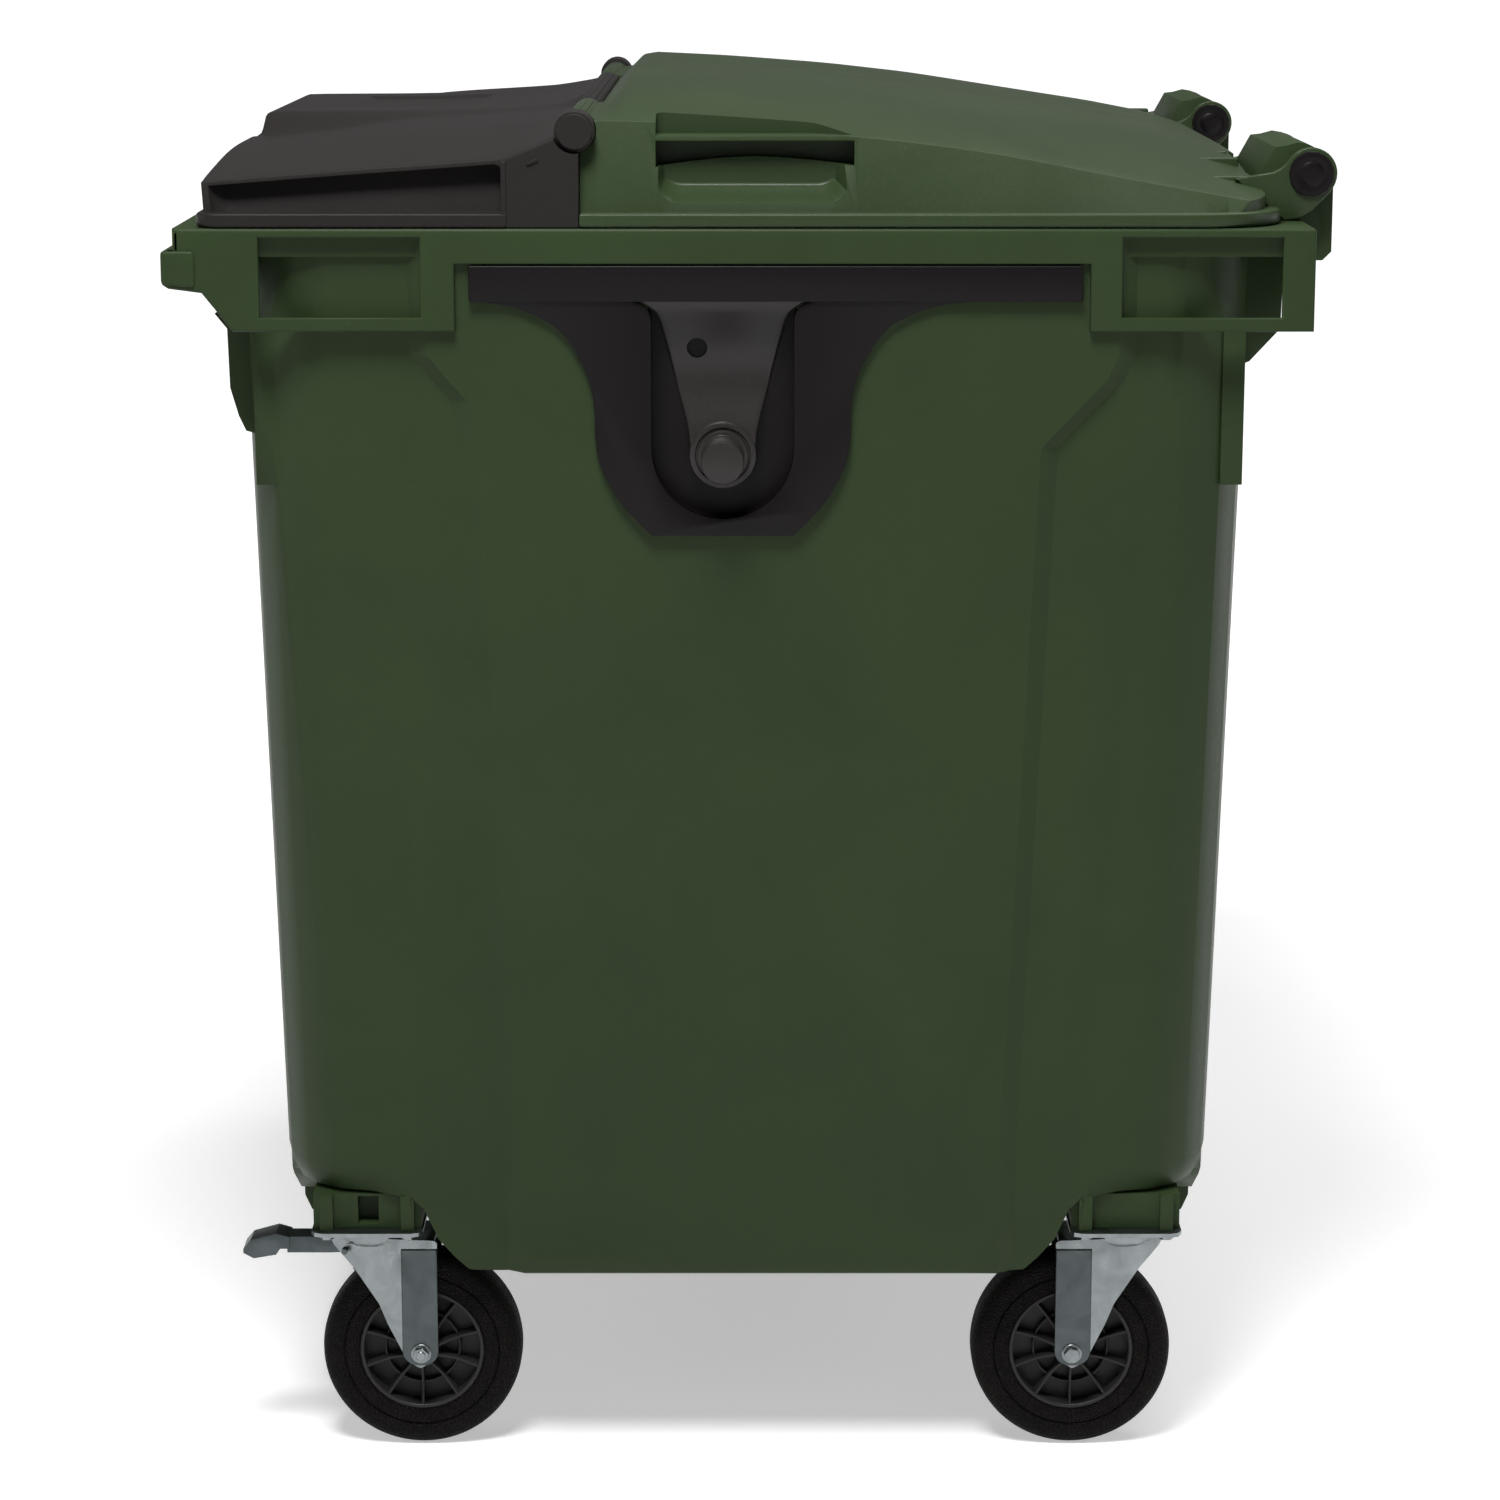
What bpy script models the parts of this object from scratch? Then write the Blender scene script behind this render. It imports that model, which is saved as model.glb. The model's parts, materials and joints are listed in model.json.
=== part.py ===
# Wheeled waste container of 1100 litres: a tub with trunnions, a lid with a second lid hinged on it,
# and four swivel castors, the front two with a brake pedal.
# Metres, +Z up. The origin is on the ground under the middle of the container. The front, where the
# small lid opens, faces -Y. Left and right are those of someone who stands at the front.

import math

import bmesh
import bpy
from mathutils import Matrix, Vector

# Clearances and working sizes of the whole container
GAP = 0.0003
OVERRUN = 0.030
MERGE = 0.000001
SHARP_ANGLE = 32.0
FLAT_ANGLE = 0.05

# Castor
WHEEL_RADIUS = 0.1000
CASTOR_HEAD = 0.0370
CASTOR_INSET_X = 0.0920
CASTOR_INSET_Y = 0.1557
TRAIL = 0.0493
WHEEL_WIDTH = 0.0500
WHEEL_SIDES = 20
TYRE_SHOULDER = 0.0080
HUB_RADIUS = 0.0620
HUB_RIM = 0.0035
HUB_WEB = 0.0060
HUB_BOSS_RADIUS = 0.0170
HUB_BOSS_LENGTH = 0.0550
HUB_RIBS = 10
HUB_RIB = 0.0024
HUB_RIB_WIDTH = 0.0380
BUSH_RADIUS = 0.0100
BUSH_PLAY = 0.0005
AXLE_RADIUS = 0.0060
AXLE_HEAD_RADIUS = 0.0105
AXLE_HEAD = 0.0075
AXLE_NUT = 0.0100
AXLE_THREAD_END = 0.0030
ROUND_SIDES = 16
PIN_SIDES = 12
SMALL_PIN_SIDES = 8
HEX = 6
PLATE_LENGTH = 0.1350
PLATE_WIDTH = 0.1100
PLATE_CORNER = 0.0120
PLATE_CORNER_STEPS = 2
PLATE_THICK = 0.0040
BOLT_X = 0.0525
BOLT_Y = 0.0400
BOLT_RADIUS = 0.0040
BOLT_HEAD_RADIUS = 0.0075
BOLT_HEAD = 0.0053
BOLT_GRIP = 0.0220
RACE_RADIUS = 0.0370
RACE_THICK = 0.0055
SWIVEL_GAP = 0.0005
CROWN_RADIUS = 0.0355
CROWN_HEIGHT = 0.0160
CROWN_FLOOR = 0.0095
BALL_RADIUS = 0.0032
BALL_CIRCLE = 0.0250
KINGPIN_RADIUS = 0.0080
KINGPIN_HEAD_RADIUS = 0.0140
KINGPIN_HEAD = 0.0035
LEG_THICK = 0.0030
LEG_STRIP = 0.0020
YOKE_DROP = 0.0145
YOKE_THICK = 0.0040
# Outline of a fork leg: shares of the trail, and of the height from axle to leg top
LEG_OUTLINE_SHARES = (
    (-0.854, 1.0), (-0.753, 0.909), (-0.339, 0.719), (0.158, 0.420), (0.320, 0.255),
    (0.651, -0.019), (0.732, -0.082), (0.988, -0.137), (1.225, -0.073), (1.314, 0.018),
    (1.351, 0.946), (1.290, 0.967),
)
LEG_STRIP_SHARES = ((0.677, 0.030), (1.290, 0.030), (1.320, 0.880), (0.677, 0.880))
YOKE_SPAN_SHARES = (-0.609, 1.290)

# Brake pedal of the front castors
PEDAL_PIVOT_Y = 0.0255
PEDAL_PIVOT_DROP = 0.0308
PEDAL_PIN_RADIUS = 0.0030
PEDAL_PIN_PLAY = 0.0004
PEDAL_REACH = 0.1282
PEDAL_DEPTH = 0.0259
PEDAL_DROP = 0.0431
PEDAL_HALF_WIDTH = 0.0130
PEDAL_PAD_HALF_WIDTH = 0.0160
PEDAL_WALL = 0.0025
# Side outlines of the arm and of the pad: shares of the reach from the castor's axis, and of the
# depth over the pad's lowest point
PEDAL_ARM_SHARES = (
    (0.150, 0.25), (0.150, 0.57), (0.290, 0.57), (0.310, 0.838), (0.660, 0.838), (0.660, 0.20),
    (0.300, 0.20),
)
PEDAL_PAD_SHARES = (
    (0.640, 0.386), (0.640, 0.850), (0.742, 1.0), (0.940, 0.73), (1.0, 0.386), (1.0, 0.216),
    (0.919, 0.0), (0.745, 0.147), (0.712, 0.386),
)
SHOE_LENGTH_SHARE = 0.7568
SHOE_ANGLE = 20.0
SHOE_THICK = 0.0050
SHOE_HALF_WIDTH = 0.0100

# Tub
HOUSING_HEIGHT = 0.0327
BELLY_DROP = 0.0488
TUB_RISE = 0.9867
RIM_WIDTH = 1.2900
RIM_DEPTH = 1.0604
RIM_OVERHANG_X = 0.0168
RIM_OVERHANG_Y = 0.0475
RIM_PLATE = 0.0050
WALL = 0.0050
FLOOR = 0.0060
WALL_TAPER_X_SHARE = 0.0170
WALL_TAPER_Y_SHARE = 0.0254
CORNER_RADIUS = 0.0900
CORNER_STEPS = 4
BELLY_FILLET = 0.0220
FILLET_STEPS = 2
PANEL_PROUD = 0.0100
PANEL_RAMP = 0.0165
# Raised panels. Shares of the tub's height, then of half the rim's depth or width
PANEL_FRONT_EDGE_SHARES = (
    (0.0, 0.445), (0.152, 0.460), (0.640, 0.496), (0.800, 0.511), (0.843, 0.524), (0.862, 0.558),
    (0.885, 0.595), (1.0, 0.599),
)
PANEL_REAR_EDGE_SHARES = (
    (0.0, 0.498), (0.152, 0.500), (0.640, 0.537), (0.800, 0.555), (0.843, 0.634), (0.862, 0.670),
    (0.885, 0.690), (1.0, 0.690),
)
PANEL_END_EDGE_SHARES = (
    (0.0, 0.540), (0.640, 0.590), (0.800, 0.605), (0.843, 0.660), (0.862, 0.685), (0.885, 0.700),
    (1.0, 0.700),
)
TUB_SETBACK_SHARE = 0.5

# Castor pockets: height over the ceiling of the pocket (down is negative) as a share of the
# housing's height, then reach along Y and along X towards the middle as shares of the reach
POCKET_REACH = 0.1370
POCKET_LEVEL_SHARES = (
    (-3.40, 1.0, 1.0), (-2.14, 0.695, 1.0), (-1.38, 0.537, 1.0), (-1.281, 0.517, 0.80),
    (-0.321, 0.413, 0.413), (0.0, 0.328, 0.328),
)
POCKET_CORNER = 0.0300
POCKET_WALL_SHARE = 1.30
POCKET_FILLET = 0.0220
POCKET_FILLET_RISE = 0.0440
# Inset of the wall's lower edge over a pocket: shares of the rise, and of the fillet
POCKET_FILLET_SHARES = ((-0.20, 1.0), (0.0, 0.95), (0.136, 0.455), (0.454, 0.136), (1.0, -0.09))
HOUSING_INNER = 0.0655
HOUSING_OUTER = 0.0490
HOUSING_HALF_DEPTH = 0.0535
HOUSING_SLOT_DEPTH = 0.0200
HOUSING_SLOT = (-0.0094, 0.0111)
HOUSING_SLOT_SILL = 0.0035
COLUMN_HALF = 0.0065
COLUMN_RISE = 0.0015

# Rim skirt, corner grips and comb bar
SKIRT = 0.0050
SKIRT_DROP = 0.0330
GRIP_DROP = 0.0960
# Each grip's near and far end from the rim's front or rear edge, as shares of the rim's depth
GRIP_FRONT_SHARES = (0.048284, 0.243682)
GRIP_REAR_SHARES = (0.0, 0.197473)
GRIP_SILL = 0.0130
GRIP_HEAD = 0.0085
GRIP_POST_FRONT = (0.0249, 0.0322)
GRIP_POST_REAR = (0.0298, 0.0304)
GRIP_LINTEL = 0.0185
COMB_REACH = 0.0147
COMB_DROP = 0.0600
# Comb bar: shares of its reach before the rim, and of its drop below the rim's top
COMB_OUTER_SHARES = (
    (0.0, 0.0), (0.76, 0.20), (1.0, 0.35), (1.0, 0.867), (0.56, 0.933), (-1.524, 1.0),
)
COMB_INNER_SHARES = ((-1.524, 0.917), (0.42, 0.85), (0.66, 0.80), (0.66, 0.367), (0.49, 0.233), (-0.19, 0.083))
GUSSET = 0.0040
GUSSET_X_SHARES = (0.14, 0.42, 0.70)
PILASTER_DROP = 0.2460
PILASTER_HALF = 0.0104
PILASTER_INSET_X = 0.0440
PILASTER_DEPTH = 0.0500
PILASTER_FRONT_INSET = 0.0747
PILASTER_REAR_INSET = 0.0691
BULGE_INSETS = (0.1650, 0.0750)
BULGE_PROUD = 0.0140
# Boss under the comb bar: shares of its proudness, and of the grip's drop below the rim
BULGE_SHARES = ((-0.8, 2.10), (0.05, 2.066), (0.5, 1.917), (1.0, 1.635), (1.0, 1.05), (1.8, 0.90), (-0.8, 0.90))
REAR_GUSSET_SHARES = ((-0.8, 1.42), (0.0, 1.374), (2.0, 1.05), (2.0, 0.30), (-0.8, 0.30))

# Trunnions
TRUNNION_Y = -0.0221
TRUNNION_DROP = 0.2138
TRUNNION_PIN_RADIUS = 0.0200
TRUNNION_REACH = 0.0400
TRUNNION_CHAMFER = 0.0025
COLLAR_RADIUS = 0.0240
COLLAR_LENGTH = 0.0077
BACK_INSET = 0.0071
LOBE_THICK = 0.0046
BAR_THICK = 0.0076
BAR_FRONT_CLEAR = 0.0130
BAR_REAR_CLEAR = 0.0072
BAR_TOP_DROP = 0.0344
BAR_HEIGHT = 0.0336
LOBE_HALF_WIDTH = 0.1950
LOBE_HEIGHT = 0.2187
# Half of the lobe's outline: shares of its half width, and of its height from the bar's underside
LOBE_SHARES = (
    (1.0, -0.02), (1.0, 0.008), (0.815, 0.098), (0.703, 0.219), (0.636, 0.354), (0.616, 0.491),
    (0.610, 0.636), (0.558, 0.773), (0.467, 0.898), (0.420, 0.960), (0.344, 1.0),
)
RECESS_HALF_WIDTH = 0.0670
RECESS_TOP_DROP = 0.0693
RECESS_BEND_RISE = 0.0083
RECESS_TOP_CORNER = 0.0130
RECESS_DEPTH = 0.0259
RECESS_STEPS = 8
TRAY_WALL = 0.0040
WEDGE_TOP_RISE = 0.1268
WEDGE_TOP_HALF = 0.0593
WEDGE_LOW_HALF = 0.0318
DISC_INSET = 0.0079
LOCK_HOLE_RADIUS = 0.0097
LOCK_HOLE_Y = 0.0242
LOCK_HOLE_RISE = 0.1003
TRUNNION_BOLT_RADIUS = 0.0040
TRUNNION_BOLT_HEAD_RADIUS = 0.0070
TRUNNION_BOLT_HEAD = 0.0050
TRUNNION_BOLT_BITE = 0.0026
TRUNNION_BOLT_PLACES = ((0.1300, 0.1148), (0.0900, -0.0252))

# Drain plug
DRAIN_RADIUS = 0.0293
DRAIN_FLANGE_RADIUS = 0.0400
DRAIN_FLANGE = 0.0050
DRAIN_RECESS_RADIUS = 0.0450
DRAIN_RECESS = 0.0090
DRAIN_STEM = 0.0120

# Lids
LID_SEAT = 0.0008
LID_FLANGE = 0.0132
LID_WALL = 0.0040
LID_RISE = 0.1160
LID_CREASE_INSET = 0.0300
LID_SIDE_INSET = 0.0100
LID_CREASE_ROUND = 0.0070
LID_SPLIT = 0.0007
FRONT_PART_SHARE = 0.353923
MAIN_REAR_INSET = 0.0403
MAIN_FLANGE_REAR = 0.0147
MAIN_CORNER = 0.0750
RIDGE_ROOM = 0.0200
MAIN_REAR_ROUND = 0.0120
# Main lid's height at its crease and on its middle line: shares of its length, and of the rise
MAIN_SIDE_SHARES = (
    (0.0, 0.737), (0.097, 0.733), (0.407, 0.612), (0.604, 0.471), (0.754, 0.302), (0.900, 0.155),
    (1.0, 0.070),
)
MAIN_MIDDLE_SHARES = (
    (0.0, 0.745), (0.019, 0.750), (0.055, 1.0), (0.208, 0.961), (0.407, 0.870), (0.604, 0.727),
    (0.754, 0.597), (0.900, 0.460), (1.0, 0.319),
)
MAIN_LEVEL_SHARES = (0.0, 0.019, 0.055, 0.208, 0.407, 0.604, 0.754, 0.900)
CROWN_SHARES = (0.94, 0.75, 0.40)
CROWN_POWER = 4
LID_GRIP_SHARES = (0.109181, 0.396712)
LID_GRIP_DEPTH = 0.0600
LID_GRIP_RISE = 0.0030
LID_SLOT_RISE = 0.0467
LID_SLOT_TOP_RISE = 0.0655
LID_LEDGE_RISE = 0.0700
LID_SCOOP_OUT = 0.0015

# Main hinges
HINGE_SETBACK = 0.0052
HINGE_RISE = 0.0446
CHEEK_RADIUS = 0.0247
CHEEK = 0.0100
CHEEK_INNER_INSET = 0.3410
CHEEK_OUTER_INSET = 0.0970
CHEEK_STEPS = 6
CHEEK_REACH = 0.0717
# Arm of a cheek before and under its round end: shares of its reach, and of the hinge's rise
CHEEK_TOP_SHARES = ((-1.0, -0.30), (-1.0, -0.11), (-0.502, 0.034), (-0.406, 0.112))
CHEEK_LOW_SHARES = ((0.216, -0.453), (0.013, -0.776), (-0.165, -0.955), (-0.346, -0.980))
HINGE_CAP_RADIUS = 0.0212
HINGE_CAP = 0.0030
HINGE_PIN_RADIUS = 0.0110
HINGE_PIN_BITE = 0.0400
HINGE_PLAY = 0.0006
BRACKET_INNER_INSET = 0.3140
BRACKET_OUTER_INSET = 0.1140
BRACKET_RISE = 0.0283
BRACKET_DROP = 0.0840
# Bracket from its front foot over the knuckle to its rear foot: shares of the cheek's radius
# along Y, and of the bracket's rise or drop
BRACKET_TOP_SHARES = (
    (-1.80, -0.10), (-1.80, 0.0), (-1.27, 0.84), (-0.86, 0.88), (-0.40, 0.99), (0.0, 0.93),
    (0.37, 0.77), (0.80, 0.46), (1.0, 0.0),
)
BRACKET_LOW_SHARES = ((1.0, 0.90), (0.66, 1.0), (-0.35, 1.0))
BRACKET_CELLS = 3
BRACKET_CELL_HEIGHT = 0.0640
DECK_TOP_DROP = 0.0026
NOTCH_REACH = 0.0538
RAIL_INSETS = (0.2900, 0.1900)
RAIL_HALF = 0.0050
RAIL_RISE = 0.0116
RAIL_LENGTH = 0.0600

# Hinge between the lids
FRONT_HINGE_AHEAD = 0.0046
FRONT_HINGE_RISE = 0.0745
KNUCKLE_RADIUS = 0.0145
KNUCKLE_PLAY = 0.0006
END_BOSS_RADIUS = 0.0190
KNUCKLE_INNER_INSET = 0.3450
KNUCKLE_OUTER_INSET = 0.0550
END_BOSS_INSET = 0.0100
LID_PIN_RADIUS = 0.0060
LID_PIN_BITE = 0.0800
LID_PIN_CAP_RADIUS = 0.0125
LID_PIN_CAP = 0.0035

# Front lid
FRONT_INSET = 0.0261
FRONT_LIP = 0.0028
FRONT_FLANGE_AHEAD = 0.0088
FRONT_CORNER = 0.0180
FRONT_CREASE_INSET = 0.0150
# Front lid's height at its crease and on its shoulder line: shares of its reach from the front
# wall to the hinge line, and of the rise
FRONT_SIDE_SHARES = (
    (0.0, 0.237), (0.355, 0.325), (0.790, 0.420), (0.920, 0.590), (1.0, 0.640),
)
FRONT_SHOULDER_SHARES = (
    (0.0, 0.375), (0.100, 0.430), (0.355, 0.530), (0.600, 0.592), (0.790, 0.620), (0.920, 0.664),
    (1.0, 0.740),
)
FRONT_PLATFORM_SHARES = (
    (0.0, 0.333), (0.010, 0.333), (0.018, 0.590), (0.100, 0.712), (0.790, 0.712), (0.920, 0.720),
    (0.965, 0.765), (1.0, 0.767),
)
FRONT_LEVEL_SHARES = (0.0, 0.010, 0.018, 0.100, 0.355, 0.600, 0.790, 0.920, 0.965, 1.0)
# Across the front lid: share of the half width, and share of the way from crease to shoulder
FRONT_CROWN_SHARES = ((0.930, 0.16), (0.770, 0.62), (0.600, 0.90), (0.465, 1.0))
PLATFORM_SLOPE_SHARE = 0.400
PLATFORM_TOP_SHARE = 0.225
FINGER_FRONT = 0.0080
FINGER_REAR_SHARE = 0.790
FINGER_DEPTH = 0.0350
FINGER_LIP = 0.0044
BLOCK_START_SHARE = 0.800

# Places that follow from the sizes above
CASTOR_HEIGHT = 2 * WHEEL_RADIUS + CASTOR_HEAD
HOUSING_Z = CASTOR_HEIGHT + GAP
POCKET_Z = HOUSING_Z + HOUSING_HEIGHT
BELLY_Z = HOUSING_Z - BELLY_DROP
RIM_TOP = HOUSING_Z + TUB_RISE
RIM_HALF_X = RIM_WIDTH / 2
RIM_HALF_Y = RIM_DEPTH / 2
TUB_Y = -(HINGE_SETBACK + CHEEK_RADIUS - COMB_REACH) * TUB_SETBACK_SHARE
RIM_FRONT_Y = TUB_Y - RIM_HALF_Y
RIM_REAR_Y = TUB_Y + RIM_HALF_Y
CASTOR_X = RIM_HALF_X - CASTOR_INSET_X
CASTOR_Y = RIM_HALF_Y - CASTOR_INSET_Y
PILASTER_X = RIM_HALF_X - PILASTER_INSET_X
AXLE_Z = WHEEL_RADIUS
PLATE_Z = CASTOR_HEIGHT - PLATE_THICK
RACE_Z = PLATE_Z - RACE_THICK
CROWN_TOP = RACE_Z - SWIVEL_GAP
CROWN_Z = CROWN_TOP - CROWN_HEIGHT
LEG_TOP = CROWN_TOP - CROWN_HEIGHT / 3
HUB_LENGTH_HALF = HUB_BOSS_LENGTH / 2
LEG_X = HUB_LENGTH_HALF + 3 * GAP
GRIP_FRONT_Y = [RIM_FRONT_Y + share * RIM_DEPTH for share in GRIP_FRONT_SHARES]
GRIP_REAR_Y = [RIM_REAR_Y - share * RIM_DEPTH for share in reversed(GRIP_REAR_SHARES)]
BACK_X = RIM_HALF_X - BACK_INSET
RECESS_FLOOR_X = BACK_X - RECESS_DEPTH
DISC_X = BACK_X - DISC_INSET
TRUNNION_END_X = RIM_HALF_X + TRUNNION_REACH
TRUNNION_AXIS_Y = TUB_Y + TRUNNION_Y
TRUNNION_Z = RIM_TOP - TRUNNION_DROP
HINGE_Y = RIM_REAR_Y + HINGE_SETBACK
HINGE_Z = RIM_TOP + HINGE_RISE
LID_Z = RIM_TOP + LID_SEAT
FLANGE_TOP = LID_Z + LID_FLANGE
MAIN_FRONT_Y = RIM_FRONT_Y + FRONT_PART_SHARE * RIM_DEPTH
MAIN_REAR_Y = RIM_REAR_Y - MAIN_REAR_INSET
MAIN_LENGTH = MAIN_REAR_Y - MAIN_FRONT_Y
SPLIT_Y = MAIN_FRONT_Y - LID_SPLIT
FRONT_WALL_Y = RIM_FRONT_Y + FRONT_INSET
CHEEK_INNER_X = RIM_HALF_X - CHEEK_INNER_INSET
CHEEK_OUTER_X = RIM_HALF_X - CHEEK_OUTER_INSET
BRACKET_INNER_X = RIM_HALF_X - BRACKET_INNER_INSET
BRACKET_OUTER_X = RIM_HALF_X - BRACKET_OUTER_INSET
KNUCKLE_INNER_X = RIM_HALF_X - KNUCKLE_INNER_INSET
KNUCKLE_OUTER_X = RIM_HALF_X - KNUCKLE_OUTER_INSET
END_BOSS_X = RIM_HALF_X - END_BOSS_INSET
FRONT_HINGE_Y = MAIN_FRONT_Y - FRONT_HINGE_AHEAD
FRONT_HINGE_Z = FLANGE_TOP + FRONT_HINGE_RISE

for leftover in list(bpy.data.objects):
    bpy.data.objects.remove(leftover)


def material(name, colour, roughness, metallic=0.0):
    made = bpy.data.materials.new(name)
    made.use_nodes = True
    shader = made.node_tree.nodes["Principled BSDF"]
    shader.inputs["Base Color"].default_value = (*colour, 1.0)
    shader.inputs["Roughness"].default_value = roughness
    shader.inputs["Metallic"].default_value = metallic
    made.diffuse_color = (*colour, 1.0)
    return made


GREEN = material("green polyethylene", (0.045, 0.075, 0.032), 0.5)
GREEN_LID = material("green lid polyethylene", (0.060, 0.100, 0.042), 0.5)
BLACK = material("black plastic", (0.014, 0.012, 0.013), 0.5)
DARK_LID = material("dark brown grey plastic", (0.028, 0.024, 0.024), 0.55)
ZINC = material("zinc plated steel", (0.50, 0.53, 0.55), 0.35, 1.0)
HUB_PLASTIC = material("black wheel plastic", (0.020, 0.018, 0.017), 0.5)
TYRE_RUBBER = material("black rubber", (0.016, 0.013, 0.011), 0.75)
BEARING = material("bearing steel", (0.55, 0.55, 0.55), 0.25, 1.0)


# Shapes


def solid(mesh_data):
    """Turns a bmesh into an object that Booleans can work on."""
    bmesh.ops.remove_doubles(mesh_data, verts=mesh_data.verts, dist=MERGE)
    bmesh.ops.recalc_face_normals(mesh_data, faces=mesh_data.faces)
    mesh = bpy.data.meshes.new("shape")
    mesh_data.to_mesh(mesh)
    mesh_data.free()
    made = bpy.data.objects.new("shape", mesh)
    bpy.context.scene.collection.objects.link(made)
    return made


def prism(outline, axis, low, high):
    """An outline in (y, z), (x, z) or (x, y), extruded along axis 0, 1 or 2."""
    data = bmesh.new()
    ends = [list(point) for point in outline]
    for point in ends:
        point.insert(axis, low)
    face = data.faces.new([data.verts.new(point) for point in ends])
    grown = bmesh.ops.extrude_face_region(data, geom=[face])
    moved = [item for item in grown["geom"] if isinstance(item, bmesh.types.BMVert)]
    step = [0.0, 0.0, 0.0]
    step[axis] = high - low
    bmesh.ops.translate(data, verts=moved, vec=step)
    return solid(data)


def box(x, y, z):
    """A box from three (low, high) pairs."""
    return prism(((x[0], y[0]), (x[1], y[0]), (x[1], y[1]), (x[0], y[1])), 2, z[0], z[1])


def loft(rings):
    """Closed skin through rings of as many points each. A bent face is split in two, each way on
    its own half of the ring, so that a shape and its smaller copy inside bend alike."""
    data = bmesh.new()
    loops = [[data.verts.new(point) for point in ring] for ring in rings]
    for low, high in zip(loops, loops[1:]):
        for i in range(len(low)):
            after = (i + 1) % len(low)
            a, b, c, d = low[i], low[after], high[after], high[i]
            across = (b.co - a.co).cross(c.co - a.co)
            if abs(across.dot(d.co - a.co)) < MERGE * across.length:
                data.faces.new((a, b, c, d))
            elif i < len(low) // 2:
                data.faces.new((a, b, c))
                data.faces.new((a, c, d))
            else:
                data.faces.new((a, b, d))
                data.faces.new((b, c, d))
    data.faces.new(loops[0])
    data.faces.new(loops[-1])
    return solid(data)


def turned(profile, sides, axis=2, centre=(0, 0, 0)):
    """A profile of (radius, place along the axis) turned about axis 0 or 2, a flat side downwards."""
    data = bmesh.new()
    start = Matrix.Rotation(math.pi / sides, 3, "Z")
    points = [data.verts.new(start @ Vector((radius, 0, place))) for radius, place in profile]
    chain = list(zip(points, points[1:]))
    if profile[0][0] > 0:
        chain.append((points[-1], points[0]))
    edges = [data.edges.new(pair) for pair in chain]
    bmesh.ops.spin(
        data, geom=points + edges, cent=(0, 0, 0), axis=(0, 0, 1), dvec=(0, 0, 0),
        angle=2 * math.pi, steps=sides, use_merge=True,
    )
    if axis == 0:
        data.transform(Matrix.Rotation(math.pi / 2, 4, "Y"))
    data.transform(Matrix.Translation(centre))
    return solid(data)


def rod(radius, low, high, sides=ROUND_SIDES, axis=2, centre=(0, 0, 0)):
    return turned(((0, low), (radius, low), (radius, high), (0, high)), sides, axis, centre)


def combine(target, others, operation):
    """Applies one Boolean of the target with all the other shapes at once, and drops those."""
    group = bpy.data.collections.new("tools")
    bpy.context.scene.collection.children.link(group)
    for other in others:
        group.objects.link(other)
    step = target.modifiers.new(operation, "BOOLEAN")
    step.operation = operation
    step.solver = "EXACT"
    step.operand_type = "COLLECTION"
    step.collection = group
    graph = bpy.context.evaluated_depsgraph_get()
    target_mesh = bpy.data.meshes.new_from_object(target.evaluated_get(graph))
    target.modifiers.clear()
    target.data = target_mesh
    for other in others:
        bpy.data.objects.remove(other)
    bpy.data.collections.remove(group)
    return target


def add(target, *others):
    return combine(target, others, "UNION")


def cut(target, *others):
    return combine(target, others, "DIFFERENCE")


def keep(target, *others):
    return combine(target, others, "INTERSECT")


def copy_of(shape):
    twin = bpy.data.objects.new("shape", shape.data.copy())
    bpy.context.scene.collection.objects.link(twin)
    return twin


def moved(shape, matrix):
    """Transforms the shape's mesh, and turns its faces out again after a mirroring."""
    shape.data.transform(matrix)
    if matrix.determinant() < 0:
        shape.data.flip_normals()
    return shape


MIRROR_X = Matrix.Diagonal((-1, 1, 1, 1))


def both_sides(shape):
    """The shape and its mirror image across the middle plane."""
    return shape, moved(copy_of(shape), MIRROR_X)


def place(shape, name, finish, pivot=(0, 0, 0), parent=None):
    """Names a finished piece and puts its origin on its joint's axis."""
    data = bmesh.new()
    data.from_mesh(shape.data)
    bmesh.ops.remove_doubles(data, verts=data.verts, dist=MERGE)
    bmesh.ops.dissolve_limit(
        data, angle_limit=math.radians(FLAT_ANGLE), verts=data.verts, edges=data.edges
    )
    data.to_mesh(shape.data)
    data.free()
    shape.name = name
    shape.data.name = name
    shape.data.materials.clear()
    shape.data.materials.append(finish)
    shape.data.shade_smooth()
    shape.data.set_sharp_from_angle(angle=math.radians(SHARP_ANGLE))
    shape.data.transform(Matrix.Translation(-Vector(pivot)))
    shape.location = pivot
    if parent:
        shape.parent = parent
        shape.location = Vector(pivot) - parent.matrix_world.translation
    return shape


def along(table, place_share):
    """Straight-line reading of a table of (place, value)."""
    for (low, first), (high, second) in zip(table, table[1:]):
        if place_share <= high:
            return first + (second - first) * (place_share - low) / (high - low)
    return table[-1][1]


def arc(centre, radius, start, end, steps):
    """Points on a circle from one angle to another, both in degrees."""
    angles = [math.radians(start + (end - start) * i / steps) for i in range(steps + 1)]
    return [
        (centre[0] + radius * math.cos(angle), centre[1] + radius * math.sin(angle))
        for angle in angles
    ]


# Tub


def wall_x(z):
    return RIM_HALF_X - RIM_OVERHANG_X - (RIM_TOP - z) * WALL_TAPER_X_SHARE


def wall_y(z):
    return RIM_HALF_Y - RIM_OVERHANG_Y - (RIM_TOP - z) * WALL_TAPER_Y_SHARE


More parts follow.
